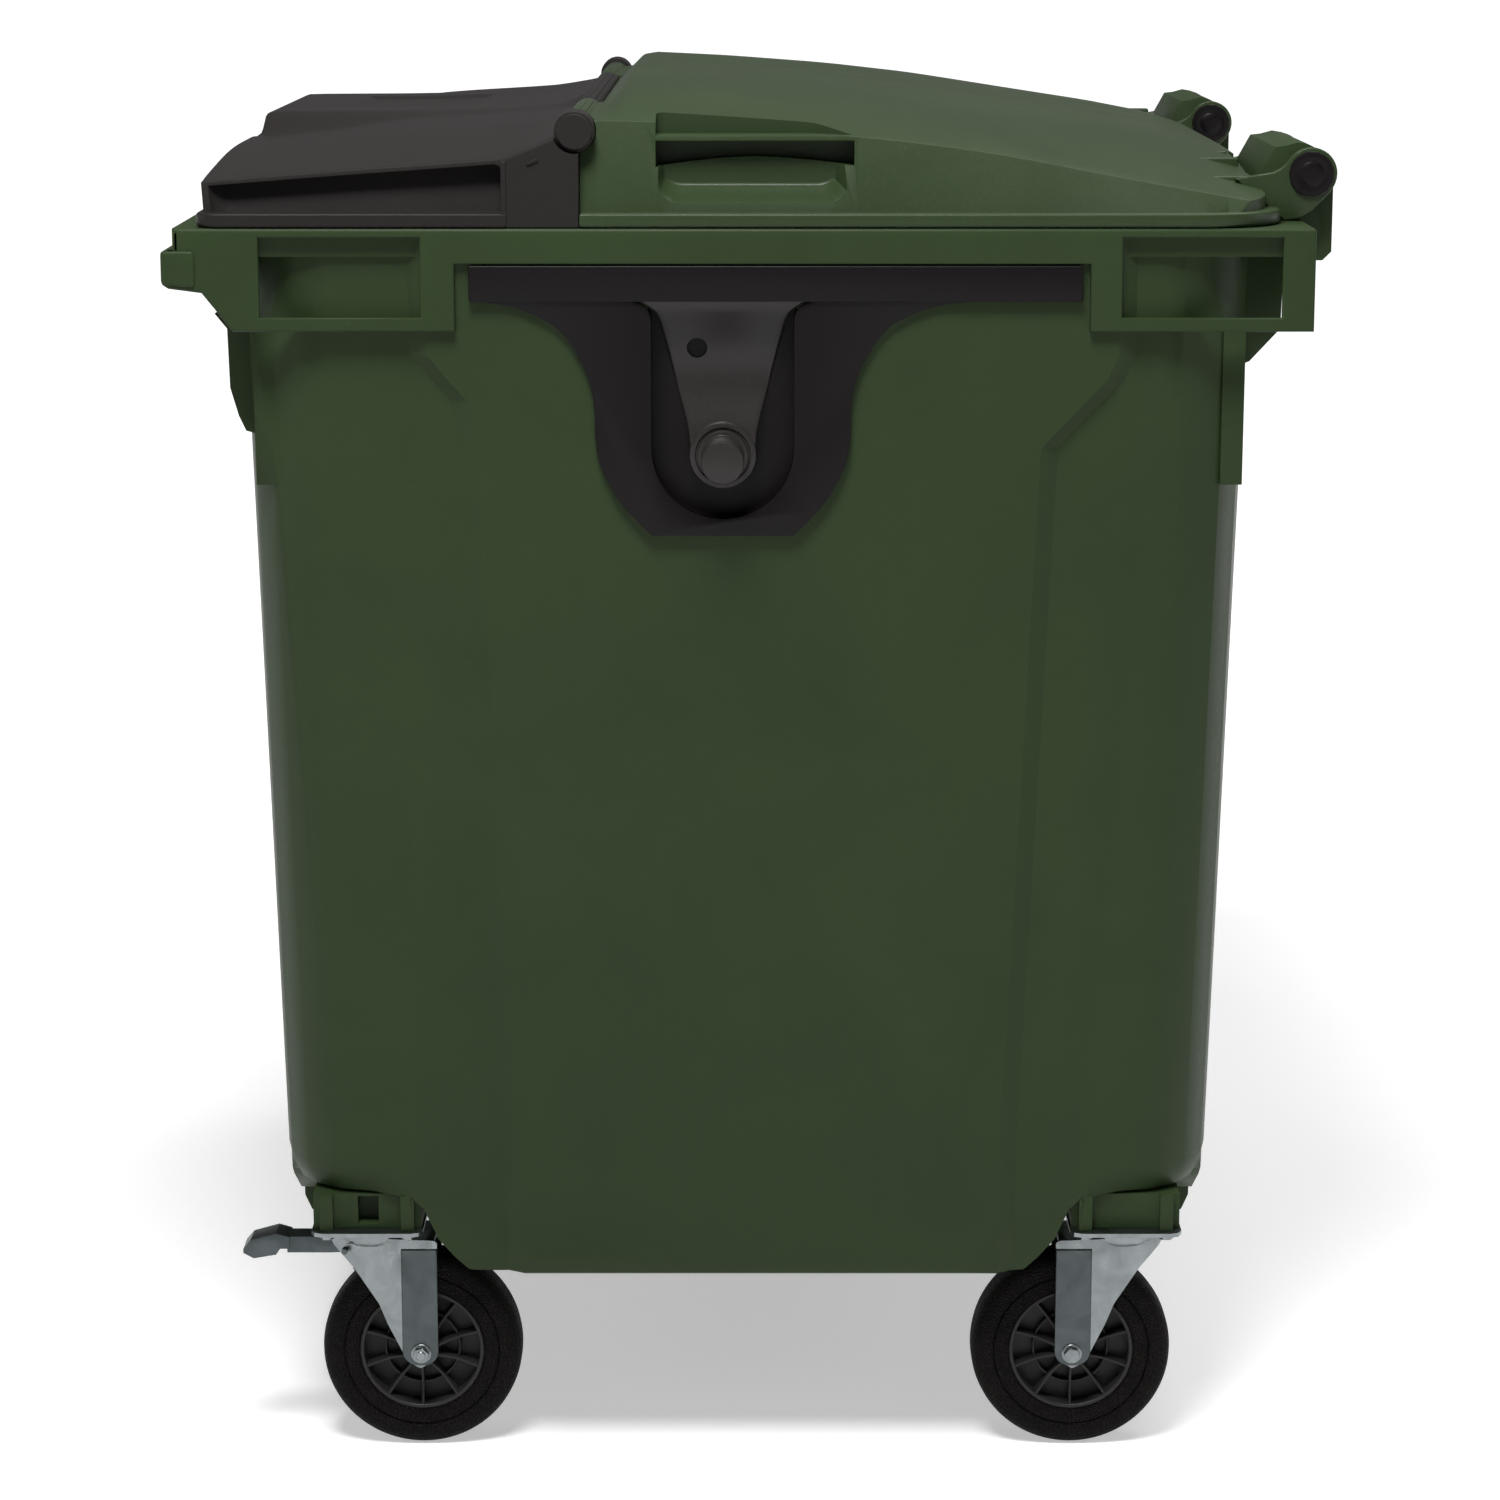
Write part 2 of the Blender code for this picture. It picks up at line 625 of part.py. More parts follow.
def tub_section(z, inset, wall):
    """Outline of the tub at one height: a raised panel on each side, and a round corner after it."""
    share = min(max((z - BELLY_Z) / (RIM_TOP - BELLY_Z), 0), 1)
    half_x = wall_x(z) - inset
    half_y = wall_y(z) - inset
    radius = CORNER_RADIUS - inset
    shift = wall * math.tan(math.atan2(PANEL_PROUD, PANEL_RAMP) / 2)
    front = -along(PANEL_FRONT_EDGE_SHARES, share) * RIM_HALF_Y + shift
    rear = along(PANEL_REAR_EDGE_SHARES, share) * RIM_HALF_Y - shift
    end = along(PANEL_END_EDGE_SHARES, share) * RIM_HALF_X - shift
    sides = (
        ((1, 0), (0, 1), half_x, half_y, front, rear),
        ((0, 1), (-1, 0), half_y, half_x, -end, end),
        ((-1, 0), (0, -1), half_x, half_y, -rear, -front),
        ((0, -1), (1, 0), half_y, half_x, -end, end),
    )
    ring = []
    for out, run, distance, next_distance, first, last in sides:
        panel = (
            (first, 0), (first + PANEL_RAMP, PANEL_PROUD),
            (last - PANEL_RAMP, PANEL_PROUD), (last, 0),
        )
        corner = arc((next_distance - radius, distance - radius), radius, 90, 0, CORNER_STEPS)
        spots = [(at, distance + proud) for at, proud in panel] + corner
        for at, reach in spots:
            ring.append((out[0] * reach + run[0] * at, TUB_Y + out[1] * reach + run[1] * at, z))
    return ring


def tub_form(wall, floor, top):
    """The tub's outer form, or with a wall and a floor the space inside it."""
    radius = BELLY_FILLET - wall
    rings = []
    for step in range(FILLET_STEPS + 1):
        angle = math.pi / 2 * step / FILLET_STEPS
        z = BELLY_Z + floor + radius * (1 - math.cos(angle))
        rings.append(tub_section(z, wall + radius * (1 - math.sin(angle)), wall))
    for share, _ in PANEL_FRONT_EDGE_SHARES[1:-1]:
        rings.append(tub_section(BELLY_Z + share * (RIM_TOP - BELLY_Z), wall, wall))
    rings.append(tub_section(top, wall, wall))
    return loft(rings)


def castor_pocket(side_x, side_y, wall=0.0):
    """The space over a castor, open to both outer sides. With a wall it is that much larger."""
    rings = []
    for rise, reach, side_reach in POCKET_LEVEL_SHARES:
        z = POCKET_Z + rise * HOUSING_HEIGHT + (wall if rise == 0 else 0)
        x0 = CASTOR_X - side_reach * POCKET_REACH - wall * POCKET_WALL_SHARE
        y0 = CASTOR_Y - reach * POCKET_REACH - wall * POCKET_WALL_SHARE
        x1 = RIM_HALF_X + OVERRUN
        y1 = RIM_HALF_Y + OVERRUN
        outline = ((x0, y1), (x0, y0 + POCKET_CORNER), (x0 + POCKET_CORNER, y0), (x1, y0), (x1, y1))
        rings.append([(side_x * x, TUB_Y + side_y * y, z) for x, y in outline])
    return loft(rings)


def pocket_edge(side_x, side_y, wall=0.0):
    """Cutter that rounds the wall's lower edge over a castor pocket, tapering out at both ends.
    With a wall it is that much larger."""
    grown = wall * POCKET_WALL_SHARE
    reach = POCKET_REACH * POCKET_LEVEL_SHARES[-1][1] + grown
    y_end = CASTOR_Y - reach
    x_end = CASTOR_X - reach
    rings = []
    for rise, share in POCKET_FILLET_SHARES:
        z = POCKET_Z + rise * POCKET_FILLET_RISE + (wall if rise >= 0 else 0)
        inset = share * POCKET_FILLET + grown
        half_x = wall_x(z)
        half_y = wall_y(z)
        radius = CORNER_RADIUS - max(inset, 0)
        bend = arc((half_x - inset - radius, half_y - inset - radius), radius, 0, 90, CORNER_STEPS)
        inner = [(half_x + GAP - grown, y_end)] + bend + [(x_end, half_y + GAP - grown)]
        outer = [(x_end, RIM_HALF_Y + OVERRUN), (RIM_HALF_X + OVERRUN, RIM_HALF_Y + OVERRUN)]
        outer += [(RIM_HALF_X + OVERRUN, y_end)]
        rings.append([(side_x * x, TUB_Y + side_y * y, z) for x, y in inner + outer])
    return loft(rings)


def castor_housing(side_x, side_y):
    """Block between a castor's plate and the pocket's ceiling, with a column round each bolt."""
    top = POCKET_Z + WALL / 2
    y = TUB_Y + side_y * CASTOR_Y

    def span(low, high):
        return tuple(sorted((side_x * (CASTOR_X + low), side_x * (CASTOR_X + high))))

    depth = (y - HOUSING_HALF_DEPTH, y + HOUSING_HALF_DEPTH)
    block = box(span(-HOUSING_INNER, HOUSING_OUTER), depth, (HOUSING_Z, top))
    if side_y < 0:
        slot = (y + HOUSING_SLOT[0], y + HOUSING_SLOT[1])
        slot_x = span(HOUSING_OUTER - HOUSING_SLOT_DEPTH, HOUSING_OUTER + OVERRUN)
        cut(block, box(slot_x, slot, (HOUSING_Z + HOUSING_SLOT_SILL, POCKET_Z)))
    shapes = [block]
    for way in (-1, 1):
        bolt_y = y + way * BOLT_Y
        face = BOLT_X + BOLT_RADIUS + GAP + COLUMN_RISE
        ends = (bolt_y - COLUMN_HALF, bolt_y + COLUMN_HALF)
        shapes.append(box(span(HOUSING_OUTER - COLUMN_HALF, face), ends, (HOUSING_Z, top)))
    return shapes


def bolt_holes(side_x, side_y):
    holes = []
    for way_x in (-1, 1):
        for way_y in (-1, 1):
            centre = (
                side_x * CASTOR_X + way_x * BOLT_X, TUB_Y + side_y * CASTOR_Y + way_y * BOLT_Y, 0,
            )
            depth = CASTOR_HEIGHT + BOLT_GRIP + 2 * GAP
            holes.append(
                rod(BOLT_RADIUS + GAP, CASTOR_HEIGHT - OVERRUN, depth, HEX, 2, centre)
            )
    return holes


def comb_point(reach_share, drop_share):
    return RIM_FRONT_Y - reach_share * COMB_REACH, RIM_TOP - drop_share * COMB_DROP


def side_skirt():
    """Right side of the rim with the closed end of the comb bar and the faces of both grips."""
    grip_z = RIM_TOP - GRIP_DROP
    skirt_z = RIM_TOP - SKIRT_DROP
    front = GRIP_FRONT_Y
    rear = GRIP_REAR_Y
    outline = [comb_point(*shares) for shares in COMB_OUTER_SHARES]
    outline += [(front[0], grip_z), (front[1], grip_z), (front[1], skirt_z)]
    outline += [(rear[0], skirt_z), (rear[0], grip_z), (rear[1], grip_z), (rear[1], RIM_TOP)]
    skirt = prism(outline, 0, RIM_HALF_X - SKIRT, RIM_HALF_X)
    inner_x = wall_x(grip_z) - WALL / 2
    top = RIM_TOP - RIM_PLATE / 2
    shapes = [skirt]
    windows = []
    for (low, high), posts in ((front, GRIP_POST_FRONT), (rear, GRIP_POST_REAR)):
        shelf = (inner_x, RIM_HALF_X - SKIRT / 2)
        shapes.append(box(shelf, (low, high), (grip_z, grip_z + SKIRT)))
        shapes.append(box(shelf, (low, low + SKIRT), (grip_z + SKIRT / 2, top)))
        shapes.append(box(shelf, (high - SKIRT, high), (grip_z + SKIRT / 2, top)))
        window = (low + posts[0], high - posts[1])
        reach = (RIM_HALF_X - 2 * SKIRT, RIM_HALF_X + OVERRUN)
        windows.append(box(reach, window, (grip_z + GRIP_SILL, RIM_TOP - GRIP_HEAD)))
        lintel = (inner_x, wall_x(RIM_TOP) + WALL)
        lintel_z = (RIM_TOP - GRIP_HEAD - GRIP_LINTEL, top)
        shapes.append(box(lintel, (low + SKIRT / 2, high - SKIRT / 2), lintel_z))
    cut(skirt, *windows)
    return shapes


def comb_bar():
    """Channel along the front of the rim, which a comb lift grips from below."""
    outer = [comb_point(*shares) for shares in COMB_OUTER_SHARES]
    inner = [comb_point(*shares) for shares in COMB_INNER_SHARES]
    return prism(outer + inner, 0, -RIM_HALF_X + SKIRT / 2, RIM_HALF_X - SKIRT / 2)


def pilaster(side_y, inset):
    """Boxed rib at a corner, under a grip, with a slanted foot."""
    z = RIM_TOP - PILASTER_DROP
    y = TUB_Y + side_y * (RIM_HALF_Y - inset)
    outline = (
        (PILASTER_X - PILASTER_DEPTH, z + PILASTER_HALF), (PILASTER_X, z),
        (PILASTER_X + PILASTER_HALF / 3, RIM_TOP - GRIP_DROP + SKIRT / 2),
        (PILASTER_X - PILASTER_DEPTH, RIM_TOP - GRIP_DROP + SKIRT / 2),
    )
    return prism(outline, 1, y - PILASTER_HALF, y + PILASTER_HALF)


def end_boss(shares, side_y):
    """Boss on the front or rear wall near a corner, joined to the rim above."""
    outline = []
    for proud, drop in shares:
        z = RIM_TOP - drop * GRIP_DROP
        outline.append((TUB_Y + side_y * (wall_y(z) + proud * BULGE_PROUD), z))
    return prism(outline, 0, *(RIM_HALF_X - inset for inset in BULGE_INSETS))


def rim_gusset(x, side_y):
    """Thin rib under the rim between wall and skirt, front or rear."""
    low = RIM_TOP - GRIP_DROP
    inner = wall_y(low) - WALL / 2
    if side_y < 0:
        edge = RIM_HALF_Y + COMB_REACH / 3
        foot = RIM_TOP - COMB_DROP + SKIRT / 2
    else:
        edge = RIM_HALF_Y - SKIRT / 2
        foot = RIM_TOP - SKIRT_DROP + SKIRT / 2
    top = RIM_TOP - RIM_PLATE / 2
    outline = [(inner, low), (inner + WALL, low), (edge, foot), (edge, top), (inner, top)]
    return prism([(TUB_Y + side_y * y, z) for y, z in outline], 0, x - GUSSET / 2, x + GUSSET / 2)


def hinge_bracket():
    """Right-hand bracket behind the rim, hollow from below in cells, with the hinge's knuckle."""
    outline = [
        (HINGE_Y + y * CHEEK_RADIUS, HINGE_Z + z * BRACKET_RISE) for y, z in BRACKET_TOP_SHARES
    ]
    outline += [
        (HINGE_Y + y * CHEEK_RADIUS, HINGE_Z - z * BRACKET_DROP) for y, z in BRACKET_LOW_SHARES
    ]
    outline += [(HINGE_Y - CHEEK_RADIUS / 3, RIM_TOP - RIM_PLATE / 2)]
    outline += [(outline[0][0], RIM_TOP - RIM_PLATE / 2)]
    bracket = prism(outline, 0, BRACKET_INNER_X, BRACKET_OUTER_X)
    pitch = (BRACKET_OUTER_X - BRACKET_INNER_X - SKIRT) / BRACKET_CELLS
    z = HINGE_Z - BRACKET_DROP
    y = (RIM_REAR_Y, HINGE_Y + CHEEK_RADIUS - SKIRT)
    cells = []
    for cell in range(BRACKET_CELLS):
        low = BRACKET_INNER_X + SKIRT + cell * pitch
        cells.append(box((low, low + pitch - SKIRT), y, (z - OVERRUN, z + BRACKET_CELL_HEIGHT)))
    return cut(bracket, *cells)


def hinge_bores():
    """Blind holes for the pins in both faces of the right-hand bracket."""
    centre = (0, HINGE_Y, HINGE_Z)
    radius = HINGE_PIN_RADIUS + HINGE_PLAY
    depth = HINGE_PIN_BITE + 2 * GAP
    low = rod(radius, BRACKET_INNER_X - OVERRUN, BRACKET_INNER_X + depth, PIN_SIDES, 0, centre)
    high = rod(radius, BRACKET_OUTER_X - depth, BRACKET_OUTER_X + OVERRUN, PIN_SIDES, 0, centre)
    return low, high


def lobe_outline(margin=0.0):
    """Outline of the trunnion plate without its bar, seen from the right."""
    top = RIM_TOP - BAR_TOP_DROP - BAR_HEIGHT
    half = [
        (share * LOBE_HALF_WIDTH + margin, top - drop * LOBE_HEIGHT) for share, drop in LOBE_SHARES
    ]
    right = [(TRUNNION_AXIS_Y + y, z) for y, z in half]
    left = [(TRUNNION_AXIS_Y - y, z) for y, z in reversed(half)]
    return right + left


def recess_outline(margin=0.0):
    """The round-ended recess in the trunnion plate, grown on all sides by a margin."""
    bend_z = TRUNNION_Z + RECESS_BEND_RISE
    top = RIM_TOP - RECESS_TOP_DROP + margin
    half = RECESS_HALF_WIDTH + margin
    corner = RECESS_TOP_CORNER
    bend = arc((TRUNNION_AXIS_Y, bend_z), half, 180, 360, RECESS_STEPS)
    y = TRUNNION_AXIS_Y
    upper = arc((y + half - corner, top - corner), corner, 0, 90, 2)
    upper += arc((y - half + corner, top - corner), corner, 90, 180, 2)
    return bend + upper


def trunnion_pad():
    """Flat pad on the right wall behind the trunnion plate."""
    depth = (wall_x(TRUNNION_Z), BACK_X - GAP)
    return [prism(lobe_outline(), 0, *depth), bar_box(depth)]


def bar_box(x):
    top = RIM_TOP - BAR_TOP_DROP
    y = (GRIP_FRONT_Y[1] + BAR_FRONT_CLEAR, GRIP_REAR_Y[0] - BAR_REAR_CLEAR)
    return box(x, y, (top - BAR_HEIGHT, top))


def trunnion_bolt_spots():
    spots = []
    for reach, rise in TRUNNION_BOLT_PLACES:
        for way in (-1, 1):
            spots.append((TRUNNION_AXIS_Y + way * reach, TRUNNION_Z + rise))
    return spots


def mirrored(shapes):
    """All the shapes, and all their mirror images across the middle plane."""
    return [twin for shape in shapes for twin in both_sides(shape)]


def container_body():
    body = tub_form(0.0, 0.0, RIM_TOP - RIM_PLATE / 2)
    inside = tub_form(WALL, FLOOR, RIM_TOP + OVERRUN)
    corners = [(x, y) for x in (-1, 1) for y in (-1, 1)]
    pocket_cuts = [castor_pocket(*corner) for corner in corners]
    pocket_cuts += [pocket_edge(*corner) for corner in corners]
    cut(body, *pocket_cuts)

    tray_x = RECESS_FLOOR_X - TRAY_WALL - GAP
    tray = prism(recess_outline(TRAY_WALL + GAP), 0, tray_x, TRUNNION_END_X)
    tray_wall = prism(recess_outline(TRAY_WALL + GAP + WALL), 0, tray_x - WALL, TRUNNION_END_X)
    drain_top = BELLY_Z + DRAIN_RECESS
    kept = [castor_pocket(*corner, wall=WALL) for corner in corners] + mirrored([tray_wall])
    kept += [pocket_edge(*corner, wall=WALL) for corner in corners]
    kept.append(rod(DRAIN_RECESS_RADIUS + WALL, BELLY_Z, drain_top + FLOOR, ROUND_SIDES))
    cut(inside, *kept)

    rim = box(
        (-RIM_HALF_X, RIM_HALF_X), (RIM_FRONT_Y, RIM_REAR_Y), (RIM_TOP - RIM_PLATE, RIM_TOP)
    )
    rear_skirt = box(
        (-RIM_HALF_X + SKIRT / 2, RIM_HALF_X - SKIRT / 2), (RIM_REAR_Y - SKIRT, RIM_REAR_Y),
        (RIM_TOP - SKIRT_DROP, RIM_TOP - RIM_PLATE / 2),
    )
    shapes = side_skirt() + trunnion_pad()
    shapes += [hinge_bracket(), pilaster(-1, PILASTER_FRONT_INSET), pilaster(1, PILASTER_REAR_INSET)]
    shapes += [end_boss(BULGE_SHARES, -1), end_boss(REAR_GUSSET_SHARES, 1)]
    for share in GUSSET_X_SHARES:
        shapes.append(rim_gusset(share * RIM_HALF_X, -1))
        shapes.append(rim_gusset(share * RIM_HALF_X, 1))
    shapes = mirrored(shapes) + [rim, rear_skirt, comb_bar()]
    for corner in corners:
        shapes += castor_housing(*corner)
    add(body, *shapes)

    holes = [inside, rod(DRAIN_RECESS_RADIUS, BELLY_Z - OVERRUN, drain_top, ROUND_SIDES)]
    holes.append(rod(DRAIN_RADIUS + GAP, BELLY_Z - OVERRUN, BELLY_Z + OVERRUN, ROUND_SIDES))
    for corner in corners:
        holes += bolt_holes(*corner)
    side_holes = [tray, *hinge_bores()]
    for y, z in trunnion_bolt_spots():
        ends = (RECESS_FLOOR_X - OVERRUN, RIM_HALF_X)
        side_holes.append(rod(TRUNNION_BOLT_RADIUS + GAP, *ends, HEX, 0, (0, y, z)))
    cut(body, *holes, *mirrored(side_holes))
    return place(body, "container_body", GREEN)


# Trunnions


def trunnion_plate():
    """Two-lobed plate with a bar above, a tray set into the tub and a wedge down to the pin."""
    plate = prism(lobe_outline(), 0, BACK_X, BACK_X + LOBE_THICK)
    tray_x = RECESS_FLOOR_X - TRAY_WALL
    tray = prism(recess_outline(TRAY_WALL), 0, tray_x, BACK_X + LOBE_THICK / 2)
    add(plate, bar_box((BACK_X, BACK_X + BAR_THICK)), tray)
    cut(plate, prism(recess_outline(), 0, RECESS_FLOOR_X, TRUNNION_END_X))
    back = RECESS_FLOOR_X - TRAY_WALL / 2
    y = TRUNNION_AXIS_Y
    levels = (
        (WEDGE_TOP_RISE, WEDGE_TOP_HALF, RECESS_FLOOR_X + GAP),
        (0.0, WEDGE_LOW_HALF, DISC_X),
    )
    rings = []
    for rise, half, front in levels:
        corners = ((back, y - half), (front, y - half), (front, y + half), (back, y + half))
        rings.append([(*corner, TRUNNION_Z + rise) for corner in corners])
    axis = (0, y, TRUNNION_Z)
    lock = (0, y - LOCK_HOLE_Y, TRUNNION_Z + LOCK_HOLE_RISE)
    low = RECESS_FLOOR_X - OVERRUN
    add(plate, loft(rings), rod(WEDGE_LOW_HALF, back, DISC_X - GAP, ROUND_SIDES, 0, axis))
    holes = [
        rod(TRUNNION_PIN_RADIUS + GAP, low, RIM_HALF_X, ROUND_SIDES, 0, axis),
        rod(LOCK_HOLE_RADIUS, low, RIM_HALF_X, ROUND_SIDES, 0, lock),
    ]
    for bolt_y, bolt_z in trunnion_bolt_spots():
        ends = (BACK_X - OVERRUN, BACK_X + TRUNNION_BOLT_BITE + GAP)
        centre = (0, bolt_y, bolt_z)
        holes.append(rod(TRUNNION_BOLT_RADIUS + GAP, *ends, HEX, 0, centre))
    return cut(plate, *holes)


def trunnion_pin():
    """Turned pin with a collar that sits on the plate's disc."""
    start = RECESS_FLOOR_X - TRAY_WALL
    profile = (
        (0, start), (TRUNNION_PIN_RADIUS, start), (TRUNNION_PIN_RADIUS, DISC_X + GAP),
        (COLLAR_RADIUS, DISC_X + GAP), (COLLAR_RADIUS, DISC_X + GAP + COLLAR_LENGTH),
        (TRUNNION_PIN_RADIUS, DISC_X + GAP + COLLAR_LENGTH),
        (TRUNNION_PIN_RADIUS, TRUNNION_END_X - TRUNNION_CHAMFER),
        (TRUNNION_PIN_RADIUS - TRUNNION_CHAMFER, TRUNNION_END_X), (0, TRUNNION_END_X),
    )
    return turned(profile, ROUND_SIDES, 0, (0, TRUNNION_AXIS_Y, TRUNNION_Z))


def trunnion_bolt(y, z):
    seat = wall_x(z - TRUNNION_BOLT_HEAD_RADIUS) + PANEL_PROUD - WALL - GAP
    profile = (
        (0, seat - TRUNNION_BOLT_HEAD), (TRUNNION_BOLT_HEAD_RADIUS, seat - TRUNNION_BOLT_HEAD),
        (TRUNNION_BOLT_HEAD_RADIUS, seat), (TRUNNION_BOLT_RADIUS, seat),
        (TRUNNION_BOLT_RADIUS, BACK_X + TRUNNION_BOLT_BITE), (0, BACK_X + TRUNNION_BOLT_BITE),
    )
    return turned(profile, HEX, 0, (0, y, z))


def trunnions():
    plate = trunnion_plate()
    pin = trunnion_pin()
    for shape, name in ((plate, "trunnion_plate"), (pin, "trunnion_pin")):
        right, left = both_sides(shape)
        place(right, name + "_right", BLACK)
        place(left, name + "_left", BLACK)
    for number, (y, z) in enumerate(trunnion_bolt_spots(), 1):
        right, left = both_sides(trunnion_bolt(y, z))
        place(right, f"trunnion_bolt_right_{number}", ZINC)
        place(left, f"trunnion_bolt_left_{number}", ZINC)


def drain_plug():
    top = BELLY_Z + DRAIN_RECESS
    profile = (
        (0, top - GAP - DRAIN_FLANGE), (DRAIN_FLANGE_RADIUS, top - GAP - DRAIN_FLANGE),
        (DRAIN_FLANGE_RADIUS, top - GAP), (DRAIN_RADIUS, top - GAP),
        (DRAIN_RADIUS, top + DRAIN_STEM), (0, top + DRAIN_STEM),
    )
    place(turned(profile, ROUND_SIDES), "drain_plug", BLACK)


# Main lid


def lid_section(y, side_z, middle_z, wall, base_z):
    """Cross-section of the main lid: sloped sides, a rounded crease and an arched crown."""
    side_x = RIM_HALF_X - LID_SIDE_INSET - wall
    crease_x = RIM_HALF_X - LID_CREASE_INSET - wall
    round_over = LID_CREASE_ROUND
    half = [(side_x, base_z), (crease_x + round_over / 3, side_z - wall - round_over)]
    for share in CROWN_SHARES:
        height = side_z + (middle_z - side_z) * (1 - share**CROWN_POWER)
        half.append((share * crease_x, height - wall))
    return [(x, y, z) for x, z in half] + [(-x, y, z) for x, z in reversed(half[:-1])]


def main_lid_form(wall, base_z):
    rings = []
    for share in MAIN_LEVEL_SHARES:
        y = MAIN_FRONT_Y + share * MAIN_LENGTH
        if wall and share == 0:
            y += wall
        side_z = FLANGE_TOP + along(MAIN_SIDE_SHARES, share) * LID_RISE
        middle_z = FLANGE_TOP + along(MAIN_MIDDLE_SHARES, share) * LID_RISE
        rings.append(lid_section(y, side_z, middle_z, wall, base_z))
    radius = MAIN_REAR_ROUND
    for step in range(3):
        angle = math.pi / 4 * step
        share = 1 - radius * (1 - math.sin(angle)) / MAIN_LENGTH
        drop = radius * (1 - math.cos(angle))
        y = MAIN_FRONT_Y + share * MAIN_LENGTH - wall
        side_z = FLANGE_TOP + along(MAIN_SIDE_SHARES, share) * LID_RISE - drop
        middle_z = FLANGE_TOP + along(MAIN_MIDDLE_SHARES, share) * LID_RISE - drop
        side_z = max(side_z, FLANGE_TOP)
        rings.append(lid_section(y, side_z, middle_z, wall, base_z))
    return loft(rings)


def rounded_plan(half_x, front_y, rear_y, rear_corner, front_corner=0.0, steps=CORNER_STEPS):
    """Plan outline with two round corners at the rear, or at the front, or at both."""
    outline = []
    if front_corner:
        bend = arc((half_x - front_corner, front_y + front_corner), front_corner, -90, 0, steps)
        outline += [(-x, y) for x, y in reversed(bend)] + bend
    else:
        outline += [(-half_x, front_y), (half_x, front_y)]
    if rear_corner:
        bend = arc((half_x - rear_corner, rear_y - rear_corner), rear_corner, 0, 90, steps)
        outline += bend + [(-x, y) for x, y in reversed(bend)]
    else:
        outline += [(half_x, rear_y), (-half_x, rear_y)]
    return outline


def lid_grip(wall=0.0):
    """Cutters of the right-hand grip: the notch over its ledge, the finger slot and the scoop."""
    depth = RIM_HALF_X - LID_SIDE_INSET - LID_GRIP_DEPTH - wall
    out = RIM_HALF_X + OVERRUN
    front, rear = (MAIN_FRONT_Y + share * MAIN_LENGTH for share in LID_GRIP_SHARES)
    y = (front - wall, rear + wall)
    slot = (FLANGE_TOP + LID_SLOT_RISE - wall, FLANGE_TOP + LID_SLOT_TOP_RISE + wall)
    ledge = FLANGE_TOP + LID_LEDGE_RISE - wall
    foot = FLANGE_TOP + LID_GRIP_RISE - wall / 2
    side = RIM_HALF_X - LID_SIDE_INSET - LID_SCOOP_OUT - wall
    scoop = ((depth, slot[0]), (side, foot), (out, foot), (out, slot[0] + GAP), (depth, slot[0] + GAP))
    return [
        box((depth, out), y, (ledge, FLANGE_TOP + LID_RISE + OVERRUN)), box((depth, out), y, slot),
        prism(scoop, 1, *y),
    ]


def cheek_outline():
    """Side view of a hinge cheek: an arm from the lid that ends round the hinge's axis."""
    lead = [(HINGE_Y + y * CHEEK_REACH, HINGE_Z + z * HINGE_RISE * 2) for y, z in CHEEK_TOP_SHARES]
    bend = arc((HINGE_Y, HINGE_Z), CHEEK_RADIUS, 150, -30, CHEEK_STEPS)
    foot = [(HINGE_Y + y * CHEEK_REACH, HINGE_Z + z * HINGE_RISE) for y, z in CHEEK_LOW_SHARES]
    return lead + bend + foot


def hinge_rod(radius, low, high, sides=ROUND_SIDES):
    """Round bar along the axis between the two lids."""
    return rod(radius, low, high, sides, 0, (0, FRONT_HINGE_Y, FRONT_HINGE_Z))


